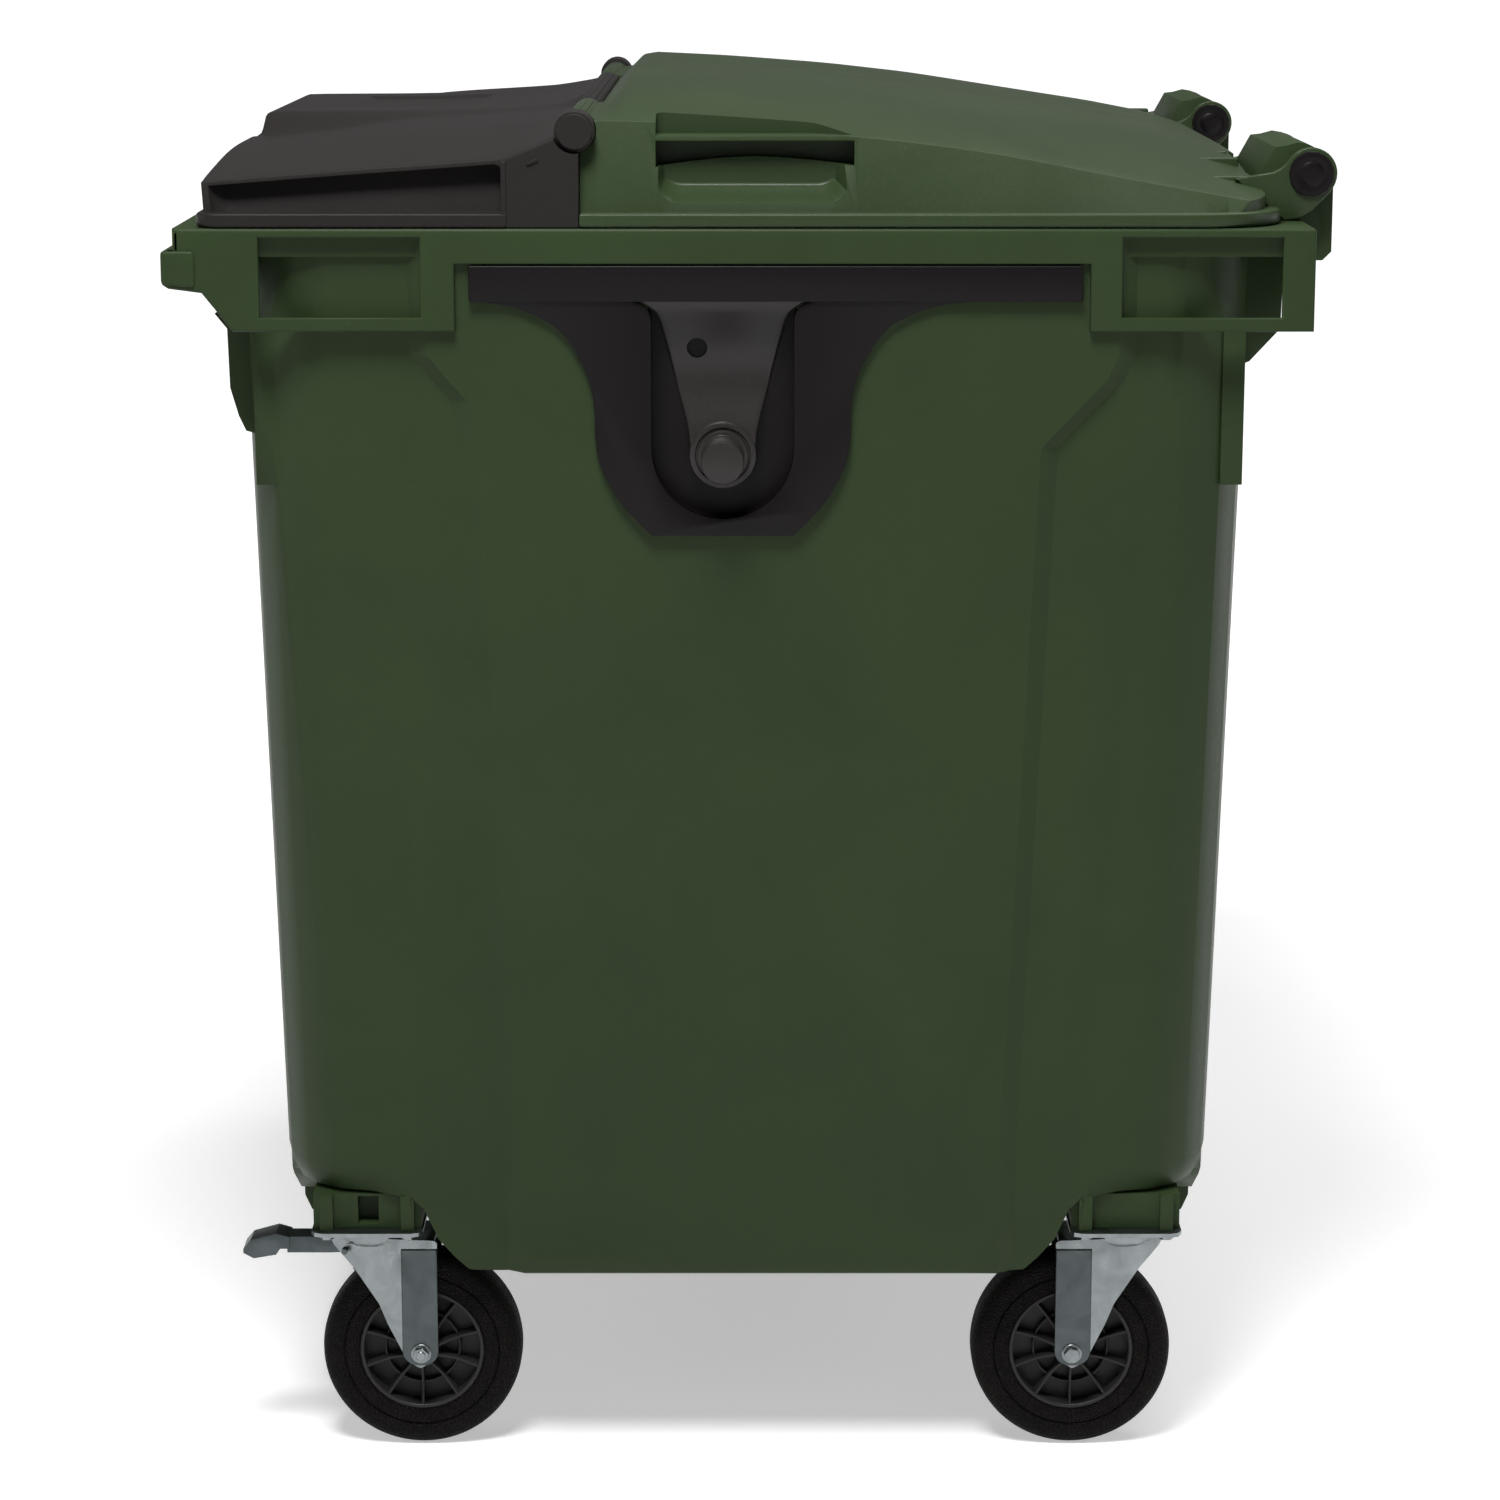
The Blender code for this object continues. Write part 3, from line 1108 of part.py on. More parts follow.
def main_lid():
    base = LID_Z - OVERRUN
    top = FLANGE_TOP + LID_RISE + OVERRUN
    side_x = RIM_HALF_X - LID_SIDE_INSET
    corner = MAIN_CORNER - LID_SIDE_INSET
    lid = main_lid_form(0.0, LID_Z)
    plan = rounded_plan(side_x, MAIN_FRONT_Y - OVERRUN, MAIN_REAR_Y, corner)
    keep(lid, prism(plan, 2, base, top))
    inside = main_lid_form(LID_WALL, base)
    wall = LID_WALL
    plan = rounded_plan(side_x - wall, MAIN_FRONT_Y, MAIN_REAR_Y - wall, corner - wall)
    keep(inside, prism(plan, 2, base - OVERRUN, top))

    notch_y = HINGE_Y - NOTCH_REACH
    notch_x = (CHEEK_INNER_X + CHEEK, CHEEK_OUTER_X)
    deck_y = (notch_y - RAIL_LENGTH, notch_y)
    deck_z = HINGE_Z - DECK_TOP_DROP
    flange = rounded_plan(RIM_HALF_X, MAIN_FRONT_Y, MAIN_REAR_Y + MAIN_FLANGE_REAR, MAIN_CORNER)
    shapes = [box(notch_x, deck_y, (FLANGE_TOP, deck_z))]
    for x in (RIM_HALF_X - inset for inset in RAIL_INSETS):
        rail_y = (deck_y[0], notch_y - LID_WALL)
        shapes.append(box((x - RAIL_HALF, x + RAIL_HALF), rail_y, (FLANGE_TOP, deck_z + RAIL_RISE)))
    add(lid, prism(flange, 2, LID_Z, FLANGE_TOP), *mirrored(shapes))
    notch = box(notch_x, (notch_y, HINGE_Y), (base, HINGE_Z + OVERRUN))
    cut(lid, *mirrored(lid_grip() + [notch]))
    shapes = [hinge_rod(KNUCKLE_RADIUS, KNUCKLE_INNER_X, KNUCKLE_OUTER_X)]
    for x in (CHEEK_INNER_X, CHEEK_OUTER_X):
        shapes.append(prism(cheek_outline(), 0, x, x + CHEEK))
    add(lid, *mirrored(shapes))

    notch_wall = box(
        (notch_x[0] - wall, notch_x[1] + wall), (notch_y - wall, HINGE_Y),
        (base - OVERRUN, HINGE_Z + OVERRUN),
    )
    boss_room = END_BOSS_RADIUS + 2 * KNUCKLE_PLAY
    cut(
        inside, hinge_rod(boss_room + wall, -RIM_WIDTH, RIM_WIDTH),
        *mirrored(lid_grip(wall) + [notch_wall]),
    )
    middle_half = KNUCKLE_INNER_X - KNUCKLE_PLAY
    pin_end = KNUCKLE_OUTER_X - LID_PIN_BITE - 2 * GAP
    holes = [
        hinge_rod(boss_room, KNUCKLE_OUTER_X - GAP, RIM_WIDTH),
        hinge_rod(LID_PIN_RADIUS + GAP, pin_end, RIM_HALF_X, PIN_SIDES),
        rod(
            HINGE_PIN_RADIUS + GAP, CHEEK_INNER_X - OVERRUN, CHEEK_OUTER_X + CHEEK + OVERRUN,
            PIN_SIDES, 0, (0, HINGE_Y, HINGE_Z),
        ),
    ]
    ridge_room = hinge_rod(RIDGE_ROOM, -middle_half, middle_half)
    cut(lid, inside, ridge_room, *mirrored(holes))
    return place(lid, "main_lid", GREEN_LID, (0, HINGE_Y, HINGE_Z))


def hinge_pins(lid):
    """Two stepped pins a hinge, each with a round cap on a cheek's outer face."""
    axis = (0, HINGE_Y, HINGE_Z)
    inner_face = CHEEK_INNER_X - GAP
    inner_end = BRACKET_INNER_X + HINGE_PIN_BITE
    inner = turned(
        ((0, inner_face - HINGE_CAP), (HINGE_CAP_RADIUS, inner_face - HINGE_CAP),
         (HINGE_CAP_RADIUS, inner_face), (HINGE_PIN_RADIUS, inner_face),
         (HINGE_PIN_RADIUS, inner_end), (0, inner_end)),
        PIN_SIDES, 0, axis,
    )
    outer_face = CHEEK_OUTER_X + CHEEK + GAP
    outer_end = BRACKET_OUTER_X - HINGE_PIN_BITE
    outer = turned(
        ((0, outer_end), (HINGE_PIN_RADIUS, outer_end), (HINGE_PIN_RADIUS, outer_face),
         (HINGE_CAP_RADIUS, outer_face), (HINGE_CAP_RADIUS, outer_face + HINGE_CAP),
         (0, outer_face + HINGE_CAP)),
        PIN_SIDES, 0, axis,
    )
    for shape, name in ((inner, "hinge_pin_inner"), (outer, "hinge_pin_outer")):
        right, left = both_sides(shape)
        place(right, name + "_right", BLACK, axis, lid)
        place(left, name + "_left", BLACK, axis, lid)


# Front lid


def front_section(y, share, wall, base_z):
    """Cross-section of the front lid: low sides, an arched shoulder and a raised middle platform."""
    half_width = RIM_HALF_X - LID_SIDE_INSET - wall
    crease_x = RIM_HALF_X - FRONT_CREASE_INSET - wall
    side_z = FLANGE_TOP + along(FRONT_SIDE_SHARES, share) * LID_RISE
    shoulder_z = FLANGE_TOP + along(FRONT_SHOULDER_SHARES, share) * LID_RISE
    middle_z = FLANGE_TOP + along(FRONT_PLATFORM_SHARES, share) * LID_RISE
    half = [(half_width, base_z), (half_width, side_z - wall - FRONT_LIP), (crease_x, side_z - wall)]
    for reach, way in FRONT_CROWN_SHARES:
        half.append((reach * RIM_HALF_X - wall, side_z + (shoulder_z - side_z) * way - wall))
    half.append((PLATFORM_SLOPE_SHARE * RIM_HALF_X - wall, shoulder_z - wall))
    half.append((PLATFORM_TOP_SHARE * RIM_HALF_X - wall, middle_z - wall))
    return [(x, y, z) for x, z in half] + [(-x, y, z) for x, z in reversed(half)]


def front_lid_form(wall, base_z):
    rings = []
    length = SPLIT_Y - FRONT_WALL_Y
    for share in FRONT_LEVEL_SHARES:
        y = FRONT_WALL_Y + share * length
        if wall:
            y = min(max(y, FRONT_WALL_Y + wall + share * wall), SPLIT_Y - wall)
        rings.append(front_section(y, share, wall, base_z))
    return loft(rings)


def finger_recess(wall=0.0):
    """Cutter under the right-hand edge of the front lid, which leaves the edge as a lip."""
    length = SPLIT_Y - FRONT_WALL_Y
    x = RIM_HALF_X - LID_SIDE_INSET - FINGER_DEPTH - wall
    start = FINGER_FRONT / length
    lip = FINGER_LIP + (-wall if wall else 0)

    def edge(share):
        return FLANGE_TOP + along(FRONT_SIDE_SHARES, share) * LID_RISE - lip

    shares = (start, FRONT_SIDE_SHARES[1][0], FINGER_REAR_SHARE)
    outline = [(FRONT_WALL_Y + share * length, edge(share)) for share in shares]
    outline[0] = (outline[0][0] - wall, outline[0][1])
    outline[-1] = (outline[-1][0] + wall, outline[-1][1])
    low = FLANGE_TOP - wall
    outline += [(outline[-1][0], low), (outline[0][0], low)]
    return prism(outline, 0, x, RIM_HALF_X + OVERRUN)


def side_block():
    """Block at the rear end of the front lid, flush with the flange, up to the hinge's end."""
    length = SPLIT_Y - FRONT_WALL_Y
    outline = []
    for share in (BLOCK_START_SHARE, FRONT_SIDE_SHARES[-2][0], 1.0):
        z = FLANGE_TOP + along(FRONT_SIDE_SHARES, share) * LID_RISE - GAP
        outline.append((FRONT_WALL_Y + share * length, z))
    outline += [(SPLIT_Y, LID_Z), (outline[0][0], LID_Z)]
    return prism(outline, 0, RIM_HALF_X - LID_SIDE_INSET - FINGER_DEPTH, RIM_HALF_X)


def front_lid(parent):
    lid = front_lid_form(0.0, LID_Z)
    inside = front_lid_form(LID_WALL, LID_Z - OVERRUN)
    flange_front = FRONT_WALL_Y - FRONT_FLANGE_AHEAD
    flange = rounded_plan(RIM_HALF_X, flange_front, SPLIT_Y, 0.0, FRONT_CORNER)
    add(lid, prism(flange, 2, LID_Z, FLANGE_TOP))
    cut(lid, *mirrored([finger_recess()]))
    middle_half = KNUCKLE_INNER_X - 2 * KNUCKLE_PLAY
    knuckle = hinge_rod(KNUCKLE_RADIUS, -middle_half, middle_half)
    boss = hinge_rod(END_BOSS_RADIUS, KNUCKLE_OUTER_X + KNUCKLE_PLAY, END_BOSS_X)
    add(lid, knuckle, *mirrored([boss, side_block()]))
    wall = hinge_rod(END_BOSS_RADIUS + LID_WALL, -RIM_WIDTH, RIM_WIDTH)
    cut(inside, wall, *mirrored([finger_recess(LID_WALL)]))
    room = KNUCKLE_RADIUS + 2 * KNUCKLE_PLAY
    channel = arc((FRONT_HINGE_Y, FRONT_HINGE_Z), room, 180, 360, CHEEK_STEPS)
    top = FLANGE_TOP + LID_RISE + OVERRUN
    channel += [(FRONT_HINGE_Y + room, top), (FRONT_HINGE_Y - room, top)]
    opening = prism(channel, 0, middle_half - GAP, KNUCKLE_OUTER_X + 2 * KNUCKLE_PLAY)
    bore = hinge_rod(LID_PIN_RADIUS + GAP, KNUCKLE_OUTER_X - OVERRUN, RIM_HALF_X, PIN_SIDES)
    cap_room = hinge_rod(
        LID_PIN_CAP_RADIUS + 2 * KNUCKLE_PLAY, END_BOSS_X - GAP, RIM_HALF_X + OVERRUN, PIN_SIDES
    )
    cut(lid, inside, *mirrored([opening, bore, cap_room]))
    return place(lid, "front_lid", DARK_LID, (0, FRONT_HINGE_Y, FRONT_HINGE_Z), parent)


def front_lid_pins(parent):
    axis = (0, FRONT_HINGE_Y, FRONT_HINGE_Z)
    face = END_BOSS_X + GAP
    start = KNUCKLE_OUTER_X - LID_PIN_BITE
    pin = turned(
        ((0, start), (LID_PIN_RADIUS, start), (LID_PIN_RADIUS, face), (LID_PIN_CAP_RADIUS, face),
         (LID_PIN_CAP_RADIUS, face + LID_PIN_CAP), (0, face + LID_PIN_CAP)),
        PIN_SIDES, 0, axis,
    )
    right, left = both_sides(pin)
    place(right, "front_lid_pin_right", BLACK, axis, parent)
    place(left, "front_lid_pin_left", BLACK, axis, parent)


# Castors, built round an axis at the origin with the wheel trailing towards +Y


def castor_plate():
    """Top plate with the upper ball race under it and its four bolts."""
    half_x = PLATE_LENGTH / 2
    half_y = PLATE_WIDTH / 2
    corner = PLATE_CORNER
    outline = rounded_plan(half_x, -half_y, half_y, corner, corner, PLATE_CORNER_STEPS)
    plate = prism(outline, 2, PLATE_Z, CASTOR_HEIGHT)
    middle = PLATE_Z + PLATE_THICK / 2
    shapes = [rod(RACE_RADIUS, RACE_Z, middle)]
    for x in (-BOLT_X, BOLT_X):
        for y in (-BOLT_Y, BOLT_Y):
            shapes.append(rod(BOLT_HEAD_RADIUS, PLATE_Z - BOLT_HEAD, middle, HEX, 2, (x, y, 0)))
            top = CASTOR_HEIGHT + BOLT_GRIP
            shapes.append(rod(BOLT_RADIUS, middle, top, HEX, 2, (x, y, 0)))
    add(plate, *shapes)
    ends = (RACE_Z - OVERRUN, CASTOR_HEIGHT + OVERRUN)
    return cut(plate, rod(KINGPIN_RADIUS + SWIVEL_GAP, *ends, PIN_SIDES))


def kingpin():
    """Headed pin that holds the fork up and lets it turn."""
    seat = CROWN_Z - GAP
    profile = (
        (0, seat - KINGPIN_HEAD), (KINGPIN_HEAD_RADIUS, seat - KINGPIN_HEAD),
        (KINGPIN_HEAD_RADIUS, seat), (KINGPIN_RADIUS, seat), (KINGPIN_RADIUS, CASTOR_HEIGHT - GAP),
        (0, CASTOR_HEIGHT - GAP),
    )
    return turned(profile, PIN_SIDES)


def ball_ring():
    """The balls of the swivel race, with their cage, as one ring."""
    middle = CROWN_Z + CROWN_FLOOR + GAP + BALL_RADIUS
    profile = [
        (BALL_CIRCLE + BALL_RADIUS * math.cos(angle), middle + BALL_RADIUS * math.sin(angle))
        for angle in (math.pi / 3 * step for step in range(6))
    ]
    return turned(profile, PIN_SIDES)


def leg_point(trail_share, height_share):
    return trail_share * TRAIL, AXLE_Z + height_share * (LEG_TOP - AXLE_Z)


def fork(braked):
    """Crown, yoke plate and two legs with a raised strip each."""
    crown = rod(CROWN_RADIUS, CROWN_Z, CROWN_TOP, ROUND_SIDES)
    outer = LEG_X + LEG_THICK
    yoke_z = CROWN_TOP - YOKE_DROP
    first, last = (share * TRAIL for share in YOKE_SPAN_SHARES)
    yoke = box((-outer, outer), (first, last), (yoke_z, yoke_z + YOKE_THICK))
    leg = prism([leg_point(*shares) for shares in LEG_OUTLINE_SHARES], 0, LEG_X, outer)
    strip = prism(
        [leg_point(*shares) for shares in LEG_STRIP_SHARES], 0, LEG_X + LEG_THICK / 2,
        outer + LEG_STRIP,
    )
    add(crown, yoke, *both_sides(leg), *both_sides(strip))
    floor = CROWN_Z + CROWN_FLOOR
    race = BALL_CIRCLE + BALL_RADIUS + 2 * SWIVEL_GAP
    pin_play = KINGPIN_RADIUS + SWIVEL_GAP
    ends = outer + LEG_STRIP + OVERRUN
    holes = [
        rod(race, floor, CROWN_TOP + OVERRUN),
        rod(pin_play, CROWN_Z - OVERRUN, CROWN_TOP + OVERRUN, PIN_SIDES),
        rod(AXLE_RADIUS + GAP, -ends, ends, PIN_SIDES, 0, (0, TRAIL, AXLE_Z)),
    ]
    if braked:
        pivot = (0, -PEDAL_PIVOT_Y, CASTOR_HEIGHT - PEDAL_PIVOT_DROP)
        radius = PEDAL_PIN_RADIUS + PEDAL_PIN_PLAY
        holes.append(rod(radius, -ends, ends, SMALL_PIN_SIDES, 0, pivot))
    return cut(crown, *holes)


def wheel_hub():
    """Plastic hub: boss, web, rim and ribs on both sides of the web."""
    half = WHEEL_WIDTH / 2 - HUB_RIM
    inner = HUB_RADIUS - HUB_RIM
    bore = BUSH_RADIUS + BUSH_PLAY
    profile = (
        (bore, -HUB_LENGTH_HALF), (HUB_BOSS_RADIUS, -HUB_LENGTH_HALF),
        (HUB_BOSS_RADIUS, -HUB_WEB / 2), (inner, -HUB_WEB / 2), (inner, -half),
        (HUB_RADIUS, -half), (HUB_RADIUS, half), (inner, half), (inner, HUB_WEB / 2),
        (HUB_BOSS_RADIUS, HUB_WEB / 2), (HUB_BOSS_RADIUS, HUB_LENGTH_HALF),
        (bore, HUB_LENGTH_HALF),
    )
    centre = (0, TRAIL, AXLE_Z)
    hub = turned(profile, WHEEL_SIDES, 0, centre)
    low = (HUB_BOSS_RADIUS + bore) / 2
    high = inner + HUB_RIM / 2
    width = HUB_RIB_WIDTH / 2
    ribs = []
    for number in range(HUB_RIBS):
        rib = box((-width, width), (-HUB_RIB / 2, HUB_RIB / 2), (low, high))
        turn = Matrix.Rotation(2 * math.pi * number / HUB_RIBS, 4, "X")
        ribs.append(moved(rib, Matrix.Translation(centre) @ turn))
    return add(hub, *ribs)


def tyre():
    """Solid tyre with rounded shoulders, on a round seat that fits the hub."""
    half = WHEEL_WIDTH / 2
    inner = HUB_RADIUS + GAP
    outer = WHEEL_RADIUS / math.cos(math.pi / WHEEL_SIDES)
    profile = [
        (inner, -half + HUB_RIM), (inner + HUB_RIM, -half), (outer - TYRE_SHOULDER, -half),
        (outer, -half + TYRE_SHOULDER),
    ]
    profile += [(radius, -place) for radius, place in reversed(profile)]
    return turned(profile, WHEEL_SIDES, 0, (0, TRAIL, AXLE_Z))


def bush():
    half = HUB_LENGTH_HALF + GAP
    radius = AXLE_RADIUS + GAP
    profile = ((radius, -half), (BUSH_RADIUS, -half), (BUSH_RADIUS, half), (radius, half))
    return turned(profile, PIN_SIDES, 0, (0, TRAIL, AXLE_Z))


def axle_bolt():
    """Hexagon bolt through both legs and the bush, its thread standing out of the nut."""
    face = LEG_X + LEG_THICK + LEG_STRIP + GAP
    centre = (0, TRAIL, AXLE_Z)
    head = rod(AXLE_HEAD_RADIUS, -face - AXLE_HEAD, -face, HEX, 0, centre)
    end = face + AXLE_NUT + AXLE_THREAD_END
    return add(head, rod(AXLE_RADIUS, -face - AXLE_HEAD / 2, end, PIN_SIDES, 0, centre))


def axle_nut():
    face = LEG_X + LEG_THICK + LEG_STRIP + GAP
    centre = (0, TRAIL, AXLE_Z)
    nut = rod(AXLE_HEAD_RADIUS, face, face + AXLE_NUT, HEX, 0, centre)
    return cut(nut, rod(AXLE_RADIUS + GAP, face - OVERRUN, face + OVERRUN, PIN_SIDES, 0, centre))


def brake_pedal():
    """Channel-shaped pedal with a turned-up pad, a pivot pin and the shoe that meets the tyre."""
    low = CASTOR_HEIGHT - PEDAL_DROP
    pivot = (0, -PEDAL_PIVOT_Y, CASTOR_HEIGHT - PEDAL_PIVOT_DROP)

    def side(shares):
        return [(-y * PEDAL_REACH, low + z * PEDAL_DEPTH) for y, z in shares]

    arm = prism(side(PEDAL_ARM_SHARES), 0, -PEDAL_HALF_WIDTH, PEDAL_HALF_WIDTH)
    ends = [share * PEDAL_REACH for share, _ in PEDAL_ARM_SHARES]
    inner = PEDAL_HALF_WIDTH - PEDAL_WALL
    cut(
        arm,
        box(
            (-inner, inner), (PEDAL_WALL - max(ends), -PEDAL_PIVOT_Y - 3 * PEDAL_PIN_RADIUS),
            (low - OVERRUN, low + PEDAL_ARM_SHARES[1][1] * PEDAL_DEPTH - PEDAL_WALL),
        ),
    )
    pad = prism(side(PEDAL_PAD_SHARES), 0, -PEDAL_PAD_HALF_WIDTH, PEDAL_PAD_HALF_WIDTH)
    pin_end = LEG_X + LEG_THICK + PEDAL_WALL / 2
    pin = rod(PEDAL_PIN_RADIUS, -pin_end, pin_end, SMALL_PIN_SIDES, 0, pivot)
    shoe = box(
        (-SHOE_HALF_WIDTH, SHOE_HALF_WIDTH), (-SHOE_THICK / 2, SHOE_THICK / 2),
        (-SHOE_LENGTH_SHARE * CASTOR_HEAD, 0),
    )
    lean = Matrix.Rotation(math.radians(SHOE_ANGLE), 4, "X")
    return add(arm, pad, pin, moved(shoe, Matrix.Translation(pivot) @ lean)), pivot


CORNERS = (("front_left", -1, -1), ("front_right", 1, -1), ("rear_left", -1, 1), ("rear_right", 1, 1))


def castors():
    shapes = {
        "plate": (castor_plate(), ZINC), "kingpin": (kingpin(), BEARING),
        "ball_ring": (ball_ring(), BEARING), "hub": (wheel_hub(), HUB_PLASTIC),
        "tyre": (tyre(), TYRE_RUBBER), "bush": (bush(), BEARING), "axle_bolt": (axle_bolt(), ZINC),
        "axle_nut": (axle_nut(), ZINC),
    }
    fixed = ("plate", "kingpin", "ball_ring")
    rolling = ("hub", "tyre")
    for corner, side_x, side_y in CORNERS:
        spot = Vector((side_x * CASTOR_X, TUB_Y + side_y * CASTOR_Y, 0))
        turn = Matrix.Rotation(math.pi if side_y > 0 else 0.0, 4, "Z")
        to_place = Matrix.Translation(spot) @ turn
        axle = to_place @ Vector((0, TRAIL, AXLE_Z))
        for name, (shape, finish) in shapes.items():
            if name in fixed:
                pivot = spot
            elif name in rolling:
                pivot = axle
            else:
                pivot = spot
            place(moved(copy_of(shape), to_place), f"{corner}_{name}", finish, pivot)
        place(moved(fork(side_y < 0), to_place), f"{corner}_fork", ZINC, spot)
        if side_y < 0:
            pedal, pivot = brake_pedal()
            place(moved(pedal, to_place), f"{corner}_brake_pedal", ZINC, to_place @ Vector(pivot))
    for shape, _ in shapes.values():
        bpy.data.objects.remove(shape)


container_body()
trunnions()
drain_plug()
big_lid = main_lid()
bpy.context.view_layer.update()
hinge_pins(big_lid)
small_lid = front_lid(big_lid)
bpy.context.view_layer.update()
front_lid_pins(small_lid)
castors()
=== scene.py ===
# Four-wheeled waste container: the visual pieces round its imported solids.
# Lengths are in metres, +Z is up, -Y is the front with the small lid.
import json
import math

import bmesh
import bpy
from mathutils import Matrix, Vector

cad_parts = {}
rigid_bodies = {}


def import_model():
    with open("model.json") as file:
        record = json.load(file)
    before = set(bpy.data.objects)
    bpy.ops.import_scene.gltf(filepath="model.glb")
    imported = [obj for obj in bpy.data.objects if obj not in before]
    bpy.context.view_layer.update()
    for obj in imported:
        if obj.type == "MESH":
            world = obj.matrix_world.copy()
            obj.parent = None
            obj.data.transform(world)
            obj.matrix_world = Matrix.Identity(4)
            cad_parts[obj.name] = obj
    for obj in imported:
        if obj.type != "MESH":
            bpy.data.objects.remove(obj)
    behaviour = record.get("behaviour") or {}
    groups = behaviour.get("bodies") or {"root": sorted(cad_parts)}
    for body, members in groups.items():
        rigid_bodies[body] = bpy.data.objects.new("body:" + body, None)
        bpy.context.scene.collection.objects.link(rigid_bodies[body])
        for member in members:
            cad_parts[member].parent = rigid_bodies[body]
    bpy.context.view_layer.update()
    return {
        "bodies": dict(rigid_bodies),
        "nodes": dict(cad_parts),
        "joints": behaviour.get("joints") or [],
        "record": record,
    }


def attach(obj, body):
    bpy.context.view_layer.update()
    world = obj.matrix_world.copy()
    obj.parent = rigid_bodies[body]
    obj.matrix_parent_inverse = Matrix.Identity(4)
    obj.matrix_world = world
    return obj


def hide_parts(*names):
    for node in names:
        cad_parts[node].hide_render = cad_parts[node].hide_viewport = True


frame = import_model()
nodes = frame["nodes"]
pastSide, pastTop = 0.70, 1.42  # where cutters end outside the object
print("stage: solids loaded")


# Small helpers: each shape is a fresh bmesh, and finishPiece turns one into an object

def newShape():
    return bmesh.new()


def vertsOf(made):
    return [item for item in made["geom"] if isinstance(item, bmesh.types.BMVert)]


def joined(*shapes):
    whole = newShape()
    for shape in shapes:
        carrier = bpy.data.meshes.new("carrier")
        shape.to_mesh(carrier)
        shape.free()
        whole.from_mesh(carrier)
        bpy.data.meshes.remove(carrier)
    return whole


def moved(shape, matrix):
    bmesh.ops.transform(shape, matrix=matrix, verts=shape.verts)
    if matrix.determinant() < 0:
        bmesh.ops.reverse_faces(shape, faces=shape.faces)
    return shape


def shifted(shape, x=0.0, y=0.0, z=0.0):
    return moved(shape, Matrix.Translation((x, y, z)))


def turnedBy(shape, degrees, axis, centre=(0.0, 0.0, 0.0)):
    middle = Vector(centre)
    turn = Matrix.Rotation(math.radians(degrees), 4, axis)
    return moved(shape, Matrix.Translation(middle) @ turn @ Matrix.Translation(-middle))


def mirroredOver(shape, axis):
    scale = [1.0, 1.0, 1.0]
    scale[axis] = -1.0
    return moved(shape, Matrix.Diagonal((*scale, 1.0)))


def bothSides(shape):
    return joined(shape.copy(), mirroredOver(shape, 0))


def sharpEdges(shape, degrees):
    limit = math.radians(degrees)
    return [edge for edge in shape.edges
            if len(edge.link_faces) == 2 and edge.calc_face_angle(0.0) > limit]


def roundEdges(shape, width, steps=3, degrees=30, edges=None, clamp=True):
    bmesh.ops.bevel(
        shape, geom=edges if edges is not None else sharpEdges(shape, degrees), offset=width,
        offset_type="OFFSET", segments=steps, profile=0.5, affect="EDGES", clamp_overlap=clamp,
        material=-1,
    )
    return shape


# Outline points: along an arc given in degrees, or round an oblong
def arcPoints(centre, radius, degrees):
    return [(centre[0] + radius * math.cos(math.radians(a)), centre[1] + radius * math.sin(math.radians(a)))
            for a in degrees]


def oblong(first, second):
    return ((first[0], second[0]), (first[1], second[0]), (first[1], second[1]), (first[0], second[1]))


# A flat outline; round corners come from a vertex bevel
def outlined(points, axis, level, corner=0.0, steps=5, skip=()):
    shape = newShape()
    across = [index for index in range(3) if index != axis]
    corners = []
    for pair in points:
        place = [0.0, 0.0, 0.0]
        place[axis] = level
        place[across[0]], place[across[1]] = pair
        corners.append(shape.verts.new(place))
    shape.faces.new(corners)
    if corner:
        chosen = [vert for index, vert in enumerate(corners) if index not in skip]
        bmesh.ops.bevel(
            shape, geom=chosen, offset=corner, offset_type="OFFSET", segments=steps, profile=0.5,
            affect="VERTICES", clamp_overlap=True, material=-1,
        )
    return shape


# A slab between two levels of one axis, with its rims rounded
def slab(points, axis, low, high, corner=0.0, edge=0.0, steps=5, edgeSteps=3, skip=()):
    shape = outlined(points, axis, low, corner, steps, skip)
    grown = bmesh.ops.extrude_face_region(shape, geom=list(shape.faces))
    step = [0.0, 0.0, 0.0]
    step[axis] = high - low
    bmesh.ops.translate(shape, vec=step, verts=vertsOf(grown))
    bmesh.ops.recalc_face_normals(shape, faces=shape.faces)
    if edge:
        rims = [e for e in shape.edges if abs(e.verts[0].co[axis] - e.verts[1].co[axis]) < 1e-7]
        roundEdges(shape, edge, edgeSteps, edges=rims)
    return shape


def block(x, y, z, edge=0.0, steps=3):
    shape = newShape()
    bmesh.ops.create_cube(shape, size=1.0)
    bmesh.ops.scale(shape, vec=(x[1] - x[0], y[1] - y[0], z[1] - z[0]), verts=shape.verts)
    middle = [(pair[0] + pair[1]) / 2 for pair in (x, y, z)]
    bmesh.ops.translate(shape, vec=middle, verts=shape.verts)
    if edge:
        roundEdges(shape, edge, steps)
    return shape


